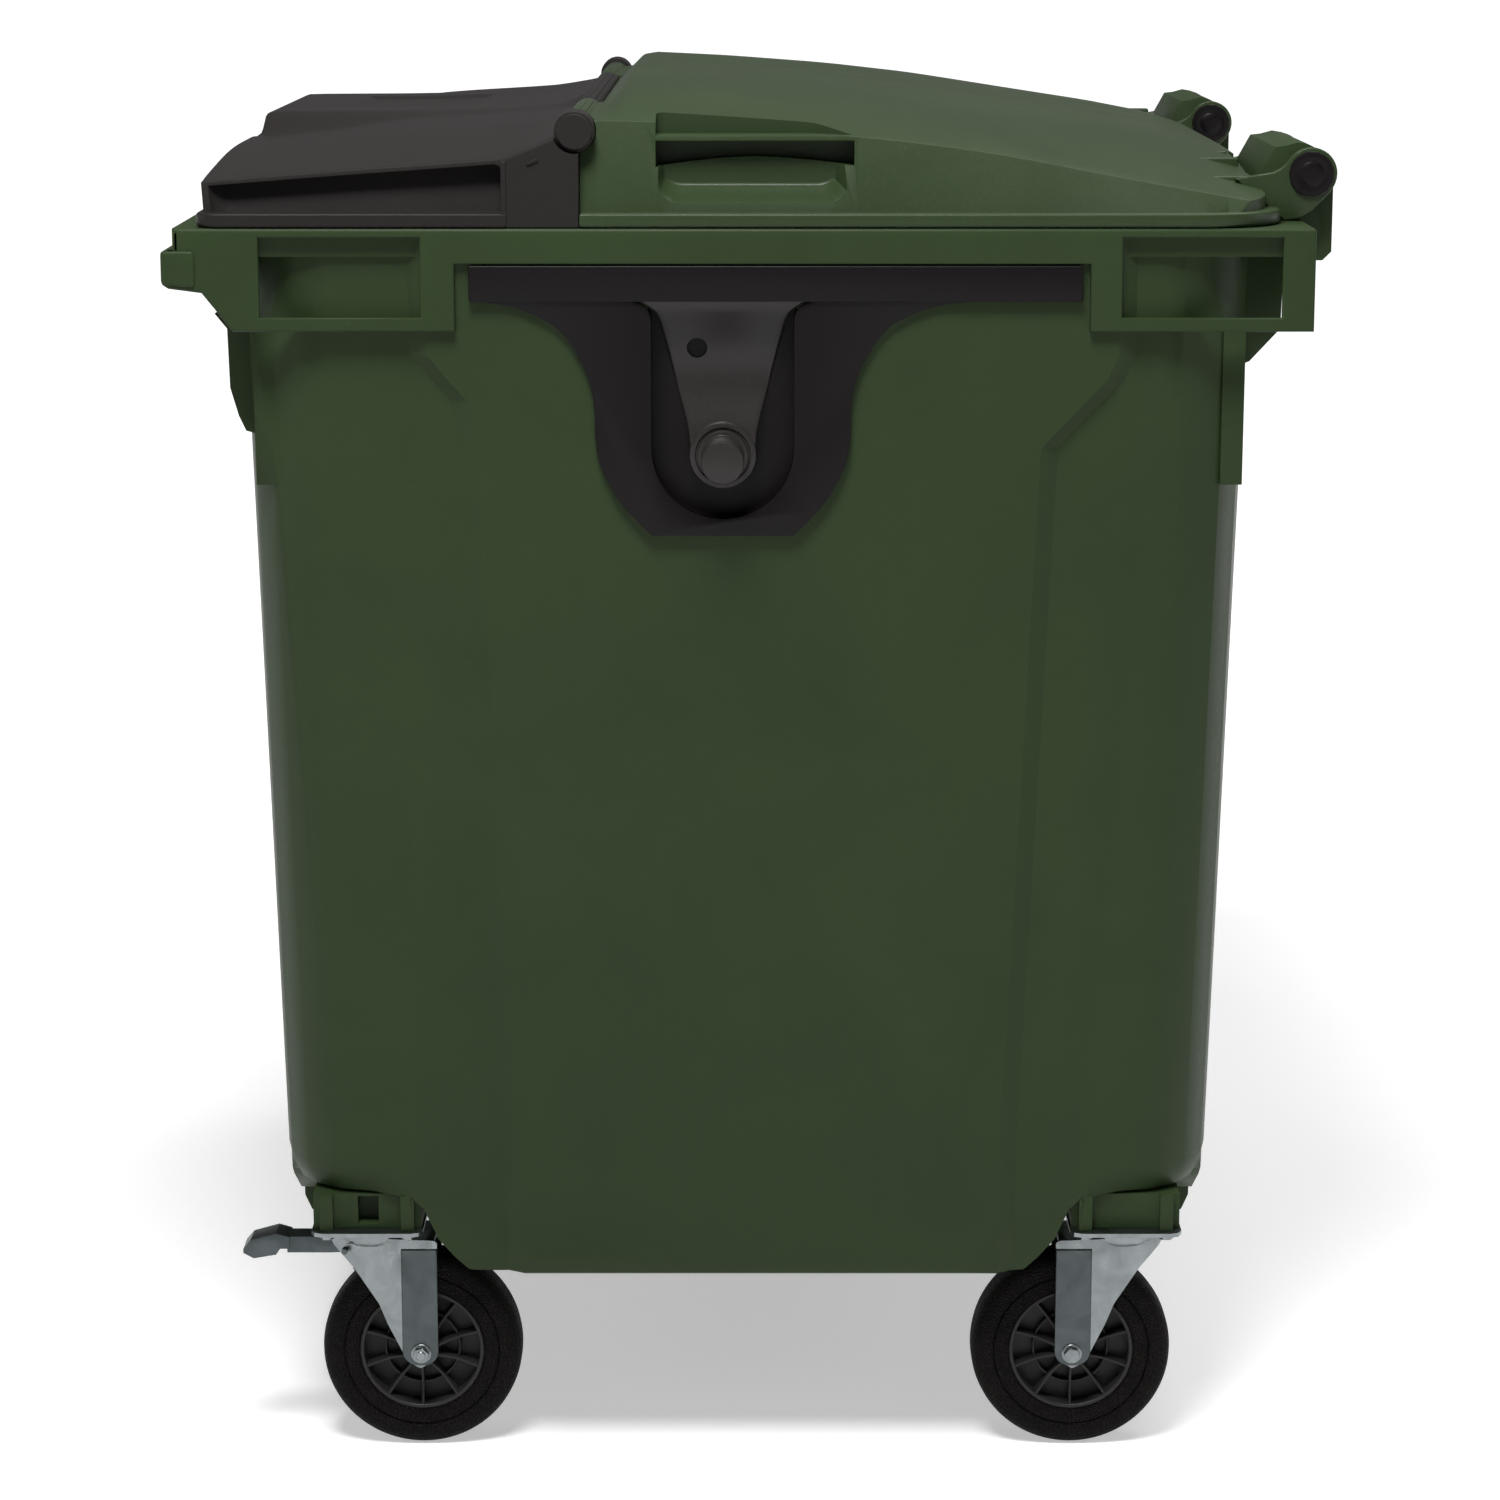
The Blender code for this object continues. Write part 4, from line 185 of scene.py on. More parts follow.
# A profile of (distance along the axis, radius) spun into a closed body
def turnedShape(profile, axis, centre, sides=64, soften=0.0, softSteps=3):
    shape = newShape()
    along = Vector([1.0 if index == axis else 0.0 for index in range(3)])
    outward = Vector((0.0, 0.0, 1.0)) if axis != 2 else Vector((1.0, 0.0, 0.0))
    middle = Vector(centre)
    chain = [shape.verts.new(middle + along * place + outward * radius) for place, radius in profile]
    for first, second in zip(chain, chain[1:]):
        shape.edges.new((first, second))
    if profile[0][1] > 0.0 and profile[-1][1] > 0.0:
        shape.edges.new((chain[-1], chain[0]))
    bmesh.ops.spin(
        shape, geom=list(shape.verts) + list(shape.edges), cent=middle, axis=along,
        angle=math.tau, steps=sides, use_merge=True,
    )
    bmesh.ops.remove_doubles(shape, verts=shape.verts, dist=1e-6)
    bmesh.ops.recalc_face_normals(shape, faces=shape.faces)
    if soften:
        roundEdges(shape, soften, softSteps, 35)
    return shape


def rod(radius, low, high, centre, sides=64, soften=0.0):
    return turnedShape(((low, 0.0), (low, radius), (high, radius), (high, 0.0)), 0, centre, sides, soften)


# One exact Boolean with any number of tools
def carved(shape, tools, operation="DIFFERENCE"):
    group = bpy.data.collections.new("tools")
    made = []
    for tool in tools:
        mesh = bpy.data.meshes.new("tool")
        tool.to_mesh(mesh)
        tool.free()
        helper = bpy.data.objects.new("tool", mesh)
        group.objects.link(helper)
        made.append(helper)
    mesh = bpy.data.meshes.new("work")
    shape.to_mesh(mesh)
    mesh.validate()
    shape.free()
    work = bpy.data.objects.new("work", mesh)
    bpy.context.scene.collection.objects.link(work)
    step = work.modifiers.new("carve", "BOOLEAN")
    step.operation = operation
    step.solver = "EXACT"
    step.operand_type = "COLLECTION"
    step.collection = group
    result = newShape()
    result.from_mesh(work.evaluated_get(bpy.context.evaluated_depsgraph_get()).to_mesh())
    for helper in made + [work]:
        spent = helper.data
        bpy.data.objects.remove(helper)
        bpy.data.meshes.remove(spent)
    bpy.data.collections.remove(group)
    bmesh.ops.remove_doubles(result, verts=result.verts, dist=2e-5)
    bmesh.ops.dissolve_degenerate(result, dist=1e-5, edges=result.edges)
    return result


# The carried solid as one merged mesh, to be dressed further
def solidCopy(name):
    shape = newShape()
    shape.from_mesh(nodes[name].data)
    bmesh.ops.remove_doubles(shape, verts=shape.verts, dist=1e-5)
    bmesh.ops.dissolve_limit(shape, angle_limit=math.radians(0.6), verts=shape.verts, edges=shape.edges)
    return shape


# The shape as an object on its body, with faces that are not valid dropped
def finishPiece(shape, name, body, material, slot, stands=(), smooth=34):
    mesh = bpy.data.meshes.new(name)
    shape.to_mesh(mesh)
    mesh.validate()
    shape.free()
    mesh.materials.append(material)
    mesh.shade_smooth()
    mesh.set_sharp_from_angle(angle=math.radians(smooth))
    piece = bpy.data.objects.new(name, mesh)
    bpy.context.scene.collection.objects.link(piece)
    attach(piece, body)
    if stands:
        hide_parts(*stands)
    return piece


# Finishes

# A skin gives the shader its colour, roughness and height
def skinGroup(name, inputs):
    group = bpy.data.node_groups.new(name, "ShaderNodeTree")
    for label, kind, value in inputs:
        socket = group.interface.new_socket(name=label, in_out="INPUT", socket_type=kind)
        if value is not None:
            socket.default_value = value
    for label, kind in (("Colour", "Color"), ("Roughness", "Float"), ("Height", "Float")):
        group.interface.new_socket(name=label, in_out="OUTPUT", socket_type="NodeSocket" + kind)
    return group, group.nodes.new("NodeGroupInput").outputs


def closeSkin(group, colour, roughness, height):
    end = group.nodes.new("NodeGroupOutput")
    for label, value in (("Colour", colour), ("Roughness", roughness), ("Height", height)):
        group.links.new(value, end.inputs[label])
    return group


def noise(group, vector, scale, detail=3.0, rough=0.5, warp=0.0):
    node = group.nodes.new("ShaderNodeTexNoise")
    node.inputs["Detail"].default_value = detail
    node.inputs["Roughness"].default_value = rough
    node.inputs["Distortion"].default_value = warp
    group.links.new(vector, node.inputs["Vector"])
    if isinstance(scale, float):
        node.inputs["Scale"].default_value = scale
    else:
        group.links.new(scale, node.inputs["Scale"])
    return node.outputs["Fac"]


def ranged(group, value, low, high, newLow, newHigh):
    node = group.nodes.new("ShaderNodeMapRange")
    group.links.new(value, node.inputs["Value"])
    for label, number in (("From Min", low), ("From Max", high), ("To Min", newLow), ("To Max", newHigh)):
        if isinstance(number, float):
            node.inputs[label].default_value = number
        else:
            group.links.new(number, node.inputs[label])
    return node.outputs["Result"]


def blended(group, factor, first, second, way="MIX"):
    node = group.nodes.new("ShaderNodeMix")
    node.data_type = "RGBA"
    node.blend_type = way
    sockets = {"Factor": node.inputs[0], "A": node.inputs[6], "B": node.inputs[7]}
    for label, value in (("Factor", factor), ("A", first), ("B", second)):
        if isinstance(value, (float, tuple)):
            sockets[label].default_value = value
        else:
            group.links.new(value, sockets[label])
    return node.outputs[2]


def sums(group, way, first, second):
    node = group.nodes.new("ShaderNodeMath")
    node.operation = way
    for socket, value in zip(node.inputs, (first, second)):
        if isinstance(value, float):
            socket.default_value = value
        else:
            group.links.new(value, socket)
    return node.outputs[0]


# Moulded plastic: a broad cloudy tone, a fine pebbled skin and duller, paler scuffs
def makeMouldedGroup():
    group, start = skinGroup(
        "mouldedSkin",
        (("Place", "NodeSocketVector", None), ("Colour", "NodeSocketColor", (0.05, 0.05, 0.05, 1.0)),
         ("Scuffed", "NodeSocketColor", (0.1, 0.1, 0.1, 1.0)), ("Grain size", "NodeSocketFloat", 900.0),
         ("Dull", "NodeSocketFloat", 0.55)),
    )
    place = start["Place"]
    cloud = noise(group, place, 5.5, 4.0, 0.55, 0.4)
    pebble = noise(group, place, start["Grain size"], 2.0, 0.5)
    speck = noise(group, place, 260.0, 3.0, 0.65)
    scuff = ranged(group, speck, 0.60, 0.78, 0.0, 0.22)
    shade = ranged(group, cloud, 0.30, 0.70, 0.90, 1.10)
    tone = group.nodes.new("ShaderNodeVectorMath")
    tone.operation = "SCALE"
    group.links.new(start["Colour"], tone.inputs[0])
    group.links.new(shade, tone.inputs["Scale"])
    pale = start["Scuffed"]
    grained = blended(group, ranged(group, pebble, 0.35, 0.75, 0.0, 0.10), tone.outputs[0], pale)
    dull = sums(group, "ADD", start["Dull"], ranged(group, cloud, 0.3, 0.7, -0.035, 0.035))
    dull = sums(group, "ADD", dull, ranged(group, speck, 0.4, 0.8, -0.02, 0.05))
    height = sums(group, "ADD", pebble, ranged(group, speck, 0.3, 0.7, 0.0, 0.6))
    return closeSkin(group, blended(group, scuff, grained, pale), dull, height)


# Zinc plating: soft crystal patches, faint drawn lines and dull spots
def makePlatedGroup():
    group, start = skinGroup(
        "platedSkin",
        (("Place", "NodeSocketVector", None), ("Colour", "NodeSocketColor", (0.5, 0.5, 0.5, 1.0)),
         ("Deep", "NodeSocketColor", (0.3, 0.3, 0.3, 1.0)), ("Dull", "NodeSocketFloat", 0.3)),
    )
    place = start["Place"]
    patch = noise(group, place, 42.0, 3.0, 0.6, 0.6)
    fine = noise(group, place, 900.0, 2.0, 0.5)
    stretch = group.nodes.new("ShaderNodeVectorMath")
    stretch.operation = "MULTIPLY"
    stretch.inputs[1].default_value = (900.0, 900.0, 30.0)
    group.links.new(place, stretch.inputs[0])
    drawn = noise(group, stretch.outputs[0], 1.0, 2.0, 0.5)
    tone = blended(group, ranged(group, patch, 0.35, 0.72, 0.0, 0.55), start["Colour"], start["Deep"])
    dull = sums(group, "ADD", start["Dull"], ranged(group, patch, 0.3, 0.7, -0.06, 0.09))
    dull = sums(group, "ADD", dull, ranged(group, fine, 0.3, 0.7, -0.03, 0.03))
    return closeSkin(group, tone, dull, sums(group, "ADD", fine, drawn))


# Rubber: a leathery web of creases over a dusty tone
def makeRubberGroup():
    group, start = skinGroup(
        "rubberSkin",
        (("Place", "NodeSocketVector", None), ("Colour", "NodeSocketColor", (0.02, 0.02, 0.02, 1.0)),
         ("Dusty", "NodeSocketColor", (0.05, 0.05, 0.05, 1.0)), ("Dull", "NodeSocketFloat", 0.7)),
    )
    place = start["Place"]
    web = group.nodes.new("ShaderNodeTexVoronoi")
    web.feature = "DISTANCE_TO_EDGE"
    web.inputs["Scale"].default_value = 330.0
    group.links.new(place, web.inputs["Vector"])
    crease = ranged(group, web.outputs["Distance"], 0.0, 0.22, 0.0, 1.0)
    dust = noise(group, place, 60.0, 4.0, 0.6)
    mask = sums(group, "MULTIPLY", crease, ranged(group, dust, 0.35, 0.70, 0.0, 0.75))
    tone = blended(group, mask, start["Colour"], start["Dusty"])
    dull = sums(group, "ADD", start["Dull"], ranged(group, dust, 0.3, 0.7, -0.06, 0.06))
    height = sums(group, "ADD", crease, ranged(group, dust, 0.3, 0.7, 0.0, 0.4))
    return closeSkin(group, tone, dull, height)


def makeFinish(name, group, values, metallic=0.0, specular=0.5, bump=0.15, bumpDepth=0.0004):
    made = bpy.data.materials.new(name)
    made.use_nodes = True
    tree = made.node_tree
    shader = tree.nodes["Principled BSDF"]
    shader.inputs["Metallic"].default_value = metallic
    shader.inputs["Specular IOR Level"].default_value = specular
    where = tree.nodes.new("ShaderNodeTexCoord")
    skin = tree.nodes.new("ShaderNodeGroup")
    skin.node_tree = group
    tree.links.new(where.outputs["Object"], skin.inputs["Place"])
    for label, value in values.items():
        skin.inputs[label].default_value = value
    relief = tree.nodes.new("ShaderNodeBump")
    relief.inputs["Strength"].default_value = bump
    relief.inputs["Distance"].default_value = bumpDepth
    tree.links.new(skin.outputs["Colour"], shader.inputs["Base Color"])
    tree.links.new(skin.outputs["Roughness"], shader.inputs["Roughness"])
    tree.links.new(skin.outputs["Height"], relief.inputs["Height"])
    tree.links.new(relief.outputs["Normal"], shader.inputs["Normal"])
    made.diffuse_color = values["Colour"]
    return made


moulded = makeMouldedGroup()
plated = makePlatedGroup()
rubber = makeRubberGroup()

# moulded plastics: tone, paler scuffs, grain, dullness, shine
plasticPlan = {
    "tub green": ((0.0255, 0.0435, 0.0160), (0.055, 0.078, 0.042), 1100.0, 0.46, 0.13),
    "lid green": ((0.0250, 0.0420, 0.0162), (0.062, 0.088, 0.048), 1300.0, 0.36, 0.18),
    "dark lid": ((0.0180, 0.0158, 0.0154), (0.050, 0.046, 0.045), 1300.0, 0.42, 0.10),
    "black plastic": ((0.0030, 0.0018, 0.0022), (0.014, 0.012, 0.012), 1500.0, 0.42, 0.15),
    # pale black: a paler copy of the black plastic; on the trunnion wedges its paler tone is painted light
    # for their lit, upward-facing slope
    "pale black plastic": ((0.0230, 0.0200, 0.0195), (0.045, 0.041, 0.040), 1500.0, 0.36, 0.25),
    "wheel plastic": ((0.0240, 0.0225, 0.0225), (0.040, 0.037, 0.036), 1500.0, 0.40, 0.18),
}
# plated metals: tone, deeper patches, dullness, relief
metalPlan = {
    "zinc plating": ((0.230, 0.250, 0.255), (0.150, 0.168, 0.172), 0.32, 0.08),
    # dull shaded zinc: a darker, duller copy of the zinc; on the leg strips its darker tone is painted shade
    # for the strips' darker reflection, and the brake pedals wear it as well
    "dull shaded zinc": ((0.080, 0.092, 0.094), (0.055, 0.065, 0.067), 0.38, 0.10),
    "bearing steel": ((0.46, 0.46, 0.45), (0.38, 0.38, 0.37), 0.24, 0.04),
}
rubberPlan = {"tone": (0.0030, 0.0022, 0.0020, 1.0), "dusty": (0.0150, 0.0122, 0.0114, 1.0), "dull": 0.62,
              "shine": 0.10, "relief": 0.9, "depth": 0.0016}


def makePlastic(name):
    tone, scuffed, grain, dull, shine = plasticPlan[name]
    return makeFinish(name, moulded, {"Colour": (*tone, 1.0), "Scuffed": (*scuffed, 1.0), "Grain size": grain,
                                      "Dull": dull}, specular=shine)


def makeMetal(name):
    tone, deep, dull, relief = metalPlan[name]
    return makeFinish(name, plated, {"Colour": (*tone, 1.0), "Deep": (*deep, 1.0), "Dull": dull}, 1.0,
                      bump=relief)


tubGreen, lidGreen, lidDark, blackPlastic, paleBlack, hubPlastic = [makePlastic(name) for name in plasticPlan]
zinc, dullShadedZinc, bearingSteel = [makeMetal(name) for name in metalPlan]
tyreRubber = makeFinish(
    "tyre rubber", rubber,
    {"Colour": rubberPlan["tone"], "Dusty": rubberPlan["dusty"], "Dull": rubberPlan["dull"]},
    specular=rubberPlan["shine"], bump=rubberPlan["relief"], bumpDepth=rubberPlan["depth"])
finishes = {
    "tub_green": tubGreen, "lid_green": lidGreen, "lid_dark": lidDark, "black_plastic": blackPlastic,
    "zinc": zinc, "wheel_plastic": hubPlastic, "tyre_rubber": tyreRubber, "bearing_steel": bearingSteel,
}
# The carried solids get these as well, by the record's material slots
for entry in frame["record"]["subparts"]:
    carried = nodes[entry["node"]]
    for place in carried.material_slots:
        place.material = finishes[entry["material_slot"]]
print("stage: finishes made")


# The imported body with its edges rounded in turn, and the rim's stepped comb bar

bodyPlan = {
    "rimEdge": 0.0030, "skirtEdge": 0.0024, "pocketEdge": 0.0120, "panelEdge": 0.0032, "fineEdge": 0.0015,
    "barY": (-0.5525, -0.5413, -0.5350), "barZ": (1.1960, 1.2030, 1.2240), "barX": 0.6475, "rimX": 0.6450,
    "endZ": (1.1690, 1.1720), "endDepth": 0.0315, "endIn": 0.0200, "stepLap": 0.0010,
    "stepEdge": 0.0018, "endEdge": 0.0022, "endCorner": 0.0040, "shelfEdge": 0.0010, "shelfCorner": 0.0025,
    # where each group of edges lies
    "rimFrom": (0.6400, 1.2230), "skirtFrom": (0.6440, 1.1265), "pocketTop": 0.2300, "pocketX": 0.3000,
    "pocketY": 0.3300, "pocketSlope": 0.0300, "panelX": 0.5750, "panelY": 0.4300, "panelZ": (0.3000, 1.1150),
    "panelLeast": 0.0120, "fineLeast": 0.0050, "cutDepth": 0.0112,
}


def dressSolid(name, body, material, slot, edge, degrees=28, steps=3, longest=0.004):
    shape = solidCopy(name)
    chosen = [e for e in sharpEdges(shape, degrees) if e.calc_length() > longest]
    roundEdges(shape, edge, steps, edges=chosen)
    return finishPiece(shape, name + "_dressed", body, material, slot, (name,))


# Each group of edges has its own width; a panel's ramps are blunter than the other edges
def makeBody():
    shape = solidCopy("container_body")
    front, back, inner = bodyPlan["barY"]
    low, shelf, top = bodyPlan["barZ"]
    lip = block((-pastSide, pastSide), (-0.57, front + bodyPlan["cutDepth"]), (shelf, 1.24))
    shape = carved(shape, [lip])
    (rimX, rimZ), (skirtX, skirtZ), (panelLow, panelTop) = (
        bodyPlan[name] for name in ("rimFrom", "skirtFrom", "panelZ"))
    groups = (
        (bodyPlan["rimEdge"], lambda a, b: min(a.z, b.z) > rimZ and max(abs(a.x), abs(b.x)) > rimX),
        (bodyPlan["skirtEdge"], lambda a, b: min(abs(a.x), abs(b.x)) > skirtX and min(a.z, b.z) > skirtZ),
        (bodyPlan["pocketEdge"], lambda a, b: max(a.z, b.z) < bodyPlan["pocketTop"]
         and abs(a.x - b.x) > bodyPlan["pocketSlope"] and abs(a.y) < bodyPlan["pocketY"]
         and min(abs(a.x), abs(b.x)) > bodyPlan["pocketX"]),
        (bodyPlan["panelEdge"], lambda a, b: min(abs(a.x), abs(b.x)) > bodyPlan["panelX"]
         and max(a.z, b.z) < panelTop and min(a.z, b.z) > panelLow
         and max(abs(a.y), abs(b.y)) < bodyPlan["panelY"] and (a - b).length > bodyPlan["panelLeast"]),
        (bodyPlan["fineEdge"], lambda a, b: (a - b).length > bodyPlan["fineLeast"]),
    )
    for width, wanted in groups:
        least = 16 if width == bodyPlan["panelEdge"] else 30
        chosen = [e for e in sharpEdges(shape, least) if wanted(e.verts[0].co, e.verts[1].co)]
        roundEdges(shape, width, 4, edges=chosen)
    rim = bodyPlan["rimX"]
    step = slab(oblong((back, inner), (shelf - bodyPlan["stepLap"], top)), 0, -rim, rim,
                edge=bodyPlan["stepEdge"])
    under, foot = bodyPlan["endZ"]
    behind = front + bodyPlan["endDepth"]
    barEnd = slab(((front, foot), (behind, under), (behind, shelf), (front, shelf)), 0,
                  rim - bodyPlan["endIn"], bodyPlan["barX"], corner=bodyPlan["endCorner"],
                  edge=bodyPlan["endEdge"])
    shelfPlate = slab(oblong((front, inner), (low, shelf)), 0, -rim, rim, corner=bodyPlan["shelfCorner"],
                      edge=bodyPlan["shelfEdge"], skip=(1, 2))
    return joined(shape, step, shelfPlate, bothSides(barEnd))


finishPiece(makeBody(), "container_body_dressed", "container", tubGreen, "tub_green", ("container_body",))
print("stage: body dressed")


# Round the corners of a (place, value) table, then read it like a curve
def eased(table, passes=2, cutShare=0.22):
    points = [tuple(pair) for pair in table]
    keep = 1.0 - cutShare
    for _ in range(passes):
        cut = [points[0]]
        for (a, b), (c, d) in zip(points, points[1:]):
            cut += [(a * keep + c * cutShare, b * keep + d * cutShare),
                    (a * cutShare + c * keep, b * cutShare + d * keep)]
        points = cut + [points[-1]]
    return points


def readTable(table, place):
    for (a, b), (c, d) in zip(table, table[1:]):
        if place <= c:
            return b + (d - b) * (place - a) / max(c - a, 1e-9)
    return table[-1][1]


# A closed lid body: a grid for the top, its rim drawn down to the base
def lidBody(xs, ys, heightAt, base, sideX, frontY, rearY):
    shape = newShape()
    bmesh.ops.create_grid(shape, x_segments=len(xs) - 1, y_segments=len(ys) - 1, size=1.0)
    for vert in shape.verts:
        column = round((vert.co.x + 1.0) / 2.0 * (len(xs) - 1))
        row = round((vert.co.y + 1.0) / 2.0 * (len(ys) - 1))
        x, y = xs[column], ys[row]
        vert.co = Vector((x, y, heightAt(x, y)))
    rim = [edge for edge in shape.edges if edge.is_boundary]
    drawn = bmesh.ops.extrude_edge_only(shape, edges=rim)
    for vert in vertsOf(drawn):
        if abs(vert.co.y - ys[0]) < 1e-7:
            vert.co.y = frontY
        elif abs(vert.co.y - ys[-1]) < 1e-7:
            vert.co.y = rearY
        if abs(abs(vert.co.x) - xs[-1]) < 1e-7:
            vert.co.x = math.copysign(sideX, vert.co.x)
        vert.co.z = base
    bmesh.ops.holes_fill(shape, edges=[edge for edge in shape.edges if edge.is_boundary], sides=0)
    bmesh.ops.recalc_face_normals(shape, faces=shape.faces)
    return shape


lidPlan = {
    "base": 1.2248, "flangeTop": 1.2380, "rise": 0.1135, "wall": 0.0040, "halfX": 0.6450, "sideX": 0.6350,
    "creaseX": 0.6150, "frontHinge": (-0.1671, 1.3125), "mainHinge": (0.5278, 1.2686),
    "knuckle": 0.0145, "knuckleEdge": 0.0012, "boss": 0.0190, "bossRoom": 0.0198, "middleRoom": 0.0200,
    "knuckleX": (0.3000, 0.5900), "play": 0.0004, "endPlay": 0.0003,
    "ribPitch": 0.0060, "ribY": (-0.0005, 0.0011), "ribZ": (0.0115, 0.0150), "ribDrop": 0.0012,
    "ribEdge": 0.0004,
}
mainLidPlan = {
    "frontY": -0.1625, "rearY": 0.4823, "flangeRear": 0.4970, "corner": 0.0750, "cornerIn": 0.0140,
    "flangeEdge": 0.0030, "lead": 0.0200, "crease": 0.0080, "creaseLift": 0.0120,
    "creaseFrom": (0.6000, -0.1620, 0.4600),
    # heights as shares of the rise, along the side and along the middle
    "side": ((0, 0.737), (0.019, 0.737), (0.097, 0.733), (0.407, 0.612), (0.604, 0.471), (0.754, 0.302),
             (0.900, 0.155), (0.99, 0.069), (1.0, 0.050)),
    "middle": ((0, 0.745), (0.019, 0.750), (0.061, 1.0), (0.208, 0.961), (0.379, 0.888), (0.528, 0.793),
               (0.664, 0.674), (0.848, 0.517), (0.95, 0.405), (1.0, 0.319)),
    "crown": 4.2, "columns": 24, "bunching": 0.88, "rows": 32,
    "gripY": (-0.0921, 0.0933), "gripBack": 0.5750, "slotTop": 1.3035, "ledgeTop": 1.3080,
    "ledgeTurn": (0.6120, 0.0560), "ledgeCorner": 0.0080,
    "slotLow": ((-0.0921, 1.2790), (-0.0600, 1.2835), (-0.0300, 1.2866), (0.0, 1.2880), (0.0300, 1.2868),
                (0.0620, 1.2838), (0.0933, 1.2800)),
    "scoopX": (0.6010, 0.6420), "scoopZ": (1.2405, 1.2905), "scoopDraft": (0.0060, 0.0160, 0.0190),
    "scoopCorner": 0.0190, "scoopRim": 0.0050, "gripRim": 0.0022, "roomSplit": (1.2700, 1.2750),
    "cheekX": ((0.3040, 0.3140), (0.5480, 0.5580)), "cheekRadius": 0.0247, "cheekEdge": 0.0014,
    "cheekTop": ((0.4561, 1.2637), (0.4918, 1.2701), (0.4987, 1.2736), (0.5036, 1.2776)),
    "cheekLow": ((0.5433, 1.2484), (0.5287, 1.2340), (0.5160, 1.2260), (0.5030, 1.2248)),
    "deckX": (0.3140, 0.5480), "deckY": (0.4100, 0.4740), "deckZ": 1.2660, "deckEdge": 0.0025,
    "deckLap": 0.0020,
    "deckRibX": (0.3550, 0.4550), "deckRibHalf": 0.0050, "deckRibY": (0.0060, 0.0040), "deckRibTop": 1.2776,
    "deckRibEdge": 0.0022, "notchY": (0.4740, 0.5400), "hingeRibX": (0.3350, 0.5550),
    "capRadius": 0.0212, "capPlaces": ((0.5583, 1), (0.3037, -1)),
}


def hingeRod(radius, low, high, sides=64, soften=0.0):
    return rod(radius, low, high, (0.0, *lidPlan["frontHinge"]), sides, soften)


# Three low ribs along the top of a hinge knuckle
def hingeRibs(low, high):
    y, z = lidPlan["frontHinge"]
    (front, rear), (bottom, top) = lidPlan["ribY"], lidPlan["ribZ"]
    ribs = []
    for step in (-1, 0, 1):
        along, down = step * lidPlan["ribPitch"], abs(step) * lidPlan["ribDrop"]
        ribs.append(block((low, high), (y + front + along, y + rear + along),
                          (z + bottom - down, z + top - down), lidPlan["ribEdge"]))
    return ribs


def planOf(halfX, front, rear):
    return oblong((-halfX, halfX), (front, rear))


def mirroredTools(tools):
    return list(tools) + [mirroredOver(tool.copy(), 0) for tool in tools]


def mainLidHeight(inset):
    side, middle = eased(mainLidPlan["side"]), eased(mainLidPlan["middle"], 1, 0.12)
    length = mainLidPlan["rearY"] - mainLidPlan["frontY"]

    def heightAt(x, y):
        share = min(max((y - mainLidPlan["frontY"]) / length, 0.0), 1.0)
        low = lidPlan["flangeTop"] + readTable(side, share) * lidPlan["rise"]
        high = lidPlan["flangeTop"] + readTable(middle, share) * lidPlan["rise"]
        across = min(abs(x) / lidPlan["creaseX"], 1.0)
        return low + (high - low) * (1 - across ** mainLidPlan["crown"]) - inset
    return heightAt


# The rows lie close together over the front ridge, then evenly
def mainLidBody(inset, base):
    crease, count, power = lidPlan["creaseX"] - inset, mainLidPlan["columns"], mainLidPlan["bunching"]
    xs = [math.copysign(crease * (abs(n) / count) ** power, n) for n in range(-count, count + 1)]
    shares = [0.0, 0.008, 0.014, 0.019, 0.024, 0.032, 0.040, 0.048, 0.054, 0.058, 0.061, 0.065, 0.071, 0.080,
              0.092]
    rows = mainLidPlan["rows"]
    shares += [0.11 + (0.965 - 0.11) * n / rows for n in range(rows + 1)] + [0.975, 0.985, 0.993, 1.0]
    front, rear = mainLidPlan["frontY"] + inset, mainLidPlan["rearY"] - inset
    ys = [front + share * (rear - front) for share in shares]
    return lidBody(xs, ys, mainLidHeight(inset), base, lidPlan["sideX"] - inset, front, rear)


# The side grip: a slot with an arched sill, the cut over its ledge and the scoop below
def gripTools():
    plan = mainLidPlan
    low, high = plan["gripY"]
    back, (turnX, turnY) = plan["gripBack"], plan["ledgeTurn"]
    slot = slab(list(plan["slotLow"]) + [(high, plan["slotTop"]), (low, plan["slotTop"])], 0, back, pastSide)
    notch = slab(((back, low), (pastSide, low), (pastSide, high), (turnX, high), (back, turnY)), 2,
                 plan["ledgeTop"], pastTop, corner=plan["ledgeCorner"], steps=6, skip=(1, 2))
    (inner, outer), (deep, top) = plan["scoopX"], plan["scoopZ"]
    scoop = slab(oblong((low, high), (deep, top)), 0, inner, outer, corner=plan["scoopCorner"], steps=8,
                 skip=(2, 3))
    front, rear, lift = plan["scoopDraft"]
    for vert in scoop.verts:
        if abs(vert.co.x - inner) < 1e-6:
            vert.co.z += lift * (top - vert.co.z) / (top - deep)
            vert.co.y += front if vert.co.y < 0 else -rear
    innerRim = [e for e in scoop.edges if all(abs(v.co.x - inner) < 1e-6 for v in e.verts)
                and min(v.co.z for v in e.verts) < top - 0.001]
    roundEdges(scoop, plan["scoopRim"], 4, edges=innerRim)
    return [slot, notch, scoop]


# The lid's inside keeps clear of the grip with two plain steps
def gripRoom():
    wall = lidPlan["wall"]
    along = (mainLidPlan["gripY"][0] - wall, mainLidPlan["gripY"][1] + wall)
    low, high = mainLidPlan["roomSplit"]
    upper = block((mainLidPlan["gripBack"] - wall, 0.71), along, (low, 1.43))
    lower = block((mainLidPlan["scoopX"][0] - wall, 0.71), along, (1.20, high))
    return [upper, lower]


